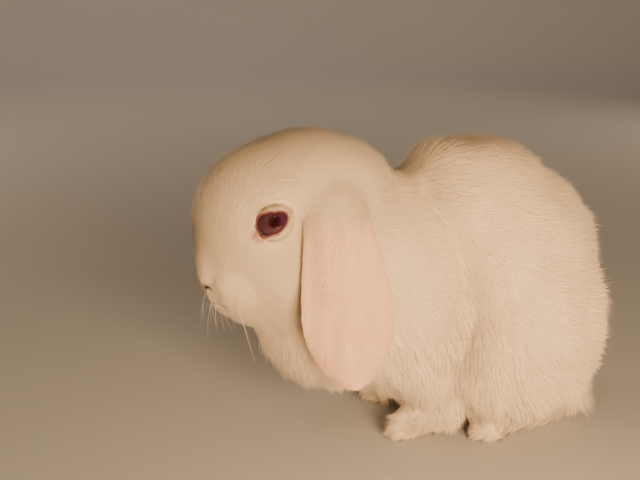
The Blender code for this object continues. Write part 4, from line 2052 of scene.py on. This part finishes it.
@dataclass(frozen=True)
class HornFinish:
    """Smooth keratin, as of whiskers and claws."""

    name: str
    colour: str
    roughness: float
    glow: float

    def make(self) -> bpy.types.Material:
        """Builds the material.

        Returns:
            The material.
        """
        # Keratin is smooth, a little clear, and streaked along its growth.
        material, tree, shader = new_material(self.name)
        set_sockets(shader, Roughness=self.roughness, IOR=1.54)
        set_sockets(shader, Subsurface_Weight=self.glow, Subsurface_Scale=0.001)
        place = add_node(tree, "ShaderNodeTexCoord")
        grain = add_node(
            tree, "ShaderNodeTexNoise", None, Vector=place.outputs["Object"], Scale=900.0, Detail=2.0
        )
        base = linear(self.colour)
        tone = add_node(
            tree, "ShaderNodeMix", {"data_type": "RGBA"},
            Factor_Float=grain.outputs["Fac"], A_Color=base, B_Color=(*(c * 0.82 for c in base[:3]), 1.0),
        )
        tree.links.new(tone.outputs[2], shader.inputs["Base Color"])
        return material


# ---------------------------------------------------------------- studio


@dataclass(frozen=True)
class Studio:
    """The camera, the lights and the plain pale floor."""

    camera_place: tuple[float, float, float] = (-138.6, -377.2, 201.2)
    azimuth: float = -15.0
    pitch: float = 16.0
    lens: float = 52.1

    def camera(self) -> None:
        """Places the camera."""
        data = bpy.data.cameras.new("camera")
        data.lens = self.lens
        data.sensor_width = 36.0
        data.clip_start = 0.01
        obj = bpy.data.objects.new("camera", data)
        obj.location = Vector(self.camera_place) * MM
        obj.rotation_euler = (math.radians(90 - self.pitch), 0, math.radians(self.azimuth))
        bpy.context.scene.collection.objects.link(obj)
        bpy.context.scene.camera = obj

    def light(
        self,
        name: str,
        place: Sequence[float],
        size: float,
        watts: float,
        colour: str,
        aim: Sequence[float] = (0, 0, 70),
        glossy: bool = True,
    ) -> None:
        """Adds a soft round light.

        Args:
            name: the light's name.
            place: where it stands, in millimetres.
            size: the light's width in millimetres.
            watts: its power.
            colour: its sRGB hex colour.
            aim: what it faces, in millimetres.
            glossy: whether shiny surfaces mirror it.
        """
        data = bpy.data.lights.new(name, "AREA")
        data.shape = "DISK"
        data.size = size * MM
        data.energy = watts
        data.color = linear(colour)[:3]
        obj = bpy.data.objects.new(name, data)
        obj.location = Vector(place) * MM
        obj.visible_glossy = glossy
        beam = Vector(aim) * MM - obj.location
        obj.rotation_euler = beam.to_track_quat("-Z", "Y").to_euler()
        bpy.context.scene.collection.objects.link(obj)

    def floor(self) -> None:
        """Lays the floor."""
        # The floor is round and turns up into a wall far off, with a wide bend between.
        turn = np.linspace(0, np.pi / 2, 12)
        flat, bend, wall_top, sides = 1500.0, 800.0, 3000.0, 64
        profile = [(flat / 2, 0.0), *((flat + bend * math.sin(t), bend * (1 - math.cos(t))) for t in turn)]
        profile.append((flat + bend, wall_top))
        around = np.linspace(0, 2 * np.pi, sides, endpoint=False)
        rings = [(r * math.cos(a), r * math.sin(a), z) for r, z in profile for a in around]
        points = [(0.0, 0.0, 0.0), *rings]
        faces = [(0, 1 + i, 1 + (i + 1) % sides) for i in range(sides)]
        for ring in range(len(profile) - 1):
            for i in range(sides):
                a, b = 1 + ring * sides + i, 1 + ring * sides + (i + 1) % sides
                faces += [(a, a + sides, b + sides), (a, b + sides, b)]
        mesh = mesh_of("floor", np.array(points), np.array(faces))
        material, tree, shader = new_material("pale_matt_floor")
        set_sockets(shader, Roughness=0.9)
        place = add_node(tree, "ShaderNodeTexCoord")
        cloud = add_node(tree, "ShaderNodeTexNoise", None, Vector=place.outputs["Object"], Scale=3.0)
        tone = add_node(
            tree, "ShaderNodeMix", {"data_type": "RGBA"},
            Factor_Float=cloud.outputs["Fac"], A_Color=linear("C6CAD0"), B_Color=linear("CCD0D5"),
        )
        tree.links.new(tone.outputs[2], shader.inputs["Base Color"])
        mesh.materials.append(material)
        link_object("floor", mesh)

    def build(self) -> None:
        """Sets up the whole studio."""
        self.camera()
        self.floor()
        # The wet eyes mirror one small lamp and not the wide key, which would hide the iris.
        self.light("key", (-5, -430, 130), 230, 4.0, "FFCE98", glossy=False)
        self.light("glint", (-132, -345, 478), 60, 0.1, "FFE8D0")
        self.light("fill", (-560, -420, 420), 800, 0.5, "FFD2A0")
        self.light("right", (-900, 700, 250), 500, 4.5, "FFD8AC")
        self.light("back", (1000, 500, 250), 500, 2.5, "FFD8AC")
        self.light("wall", (0, 900, 1400), 900, 9.0, "FFE2C0", (0, 2600, 600))
        world = bpy.data.worlds.new("studio")
        world.use_nodes = True
        set_sockets(world.node_tree.nodes["Background"], Color=linear("F6D9B4"), Strength=0.09)
        bpy.context.scene.world = world


# ---------------------------------------------------------------- the whole rabbit


@dataclass
class Rabbit:
    """The whole rabbit, put together piece by piece."""

    finishes: Finishes = field(default_factory=Finishes)
    skin: Skin = field(default_factory=Skin)
    eyes: dict[Side, Eye] = field(default_factory=lambda: {side: Eye(side) for side in Side})

    def dress_skin(self) -> None:
        """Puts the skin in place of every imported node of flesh."""
        obj = link_object("skin", self.skin.mesh)
        self.skin.mesh.materials.append(self.finishes.skin)
        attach(obj, "root")
        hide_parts(*[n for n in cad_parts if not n.startswith("eye")])
        log.info("skin: %d triangles", len(triangles_of(self.skin.mesh)))

    def dress_eyes(self) -> None:
        """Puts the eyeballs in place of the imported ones."""
        for side, eye in self.eyes.items():
            mesh = eye.ball_mesh()
            mesh.materials.append(self.finishes.eye)
            obj = link_object(f"eyeball_{side.word}", mesh)
            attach(obj, "root")
            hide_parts(f"eye_{side.word}")
            log.info("%s: %d triangles", obj.name, len(mesh.polygons))

    def build(self) -> None:
        """Builds and dresses every piece."""
        self.skin.build(self.eyes)
        self.dress_skin()
        self.dress_eyes()
        Trimmings(self.skin, self.eyes).build(self.finishes)
        Coat(self.skin).build(self.finishes.coat)


def main() -> None:
    """Builds the rabbit and the studio and notes the sizes."""
    logging.basicConfig(level=logging.INFO, format="%(message)s")
    Studio().build()
    Rabbit().build()


if __name__ == "__main__":
    main()
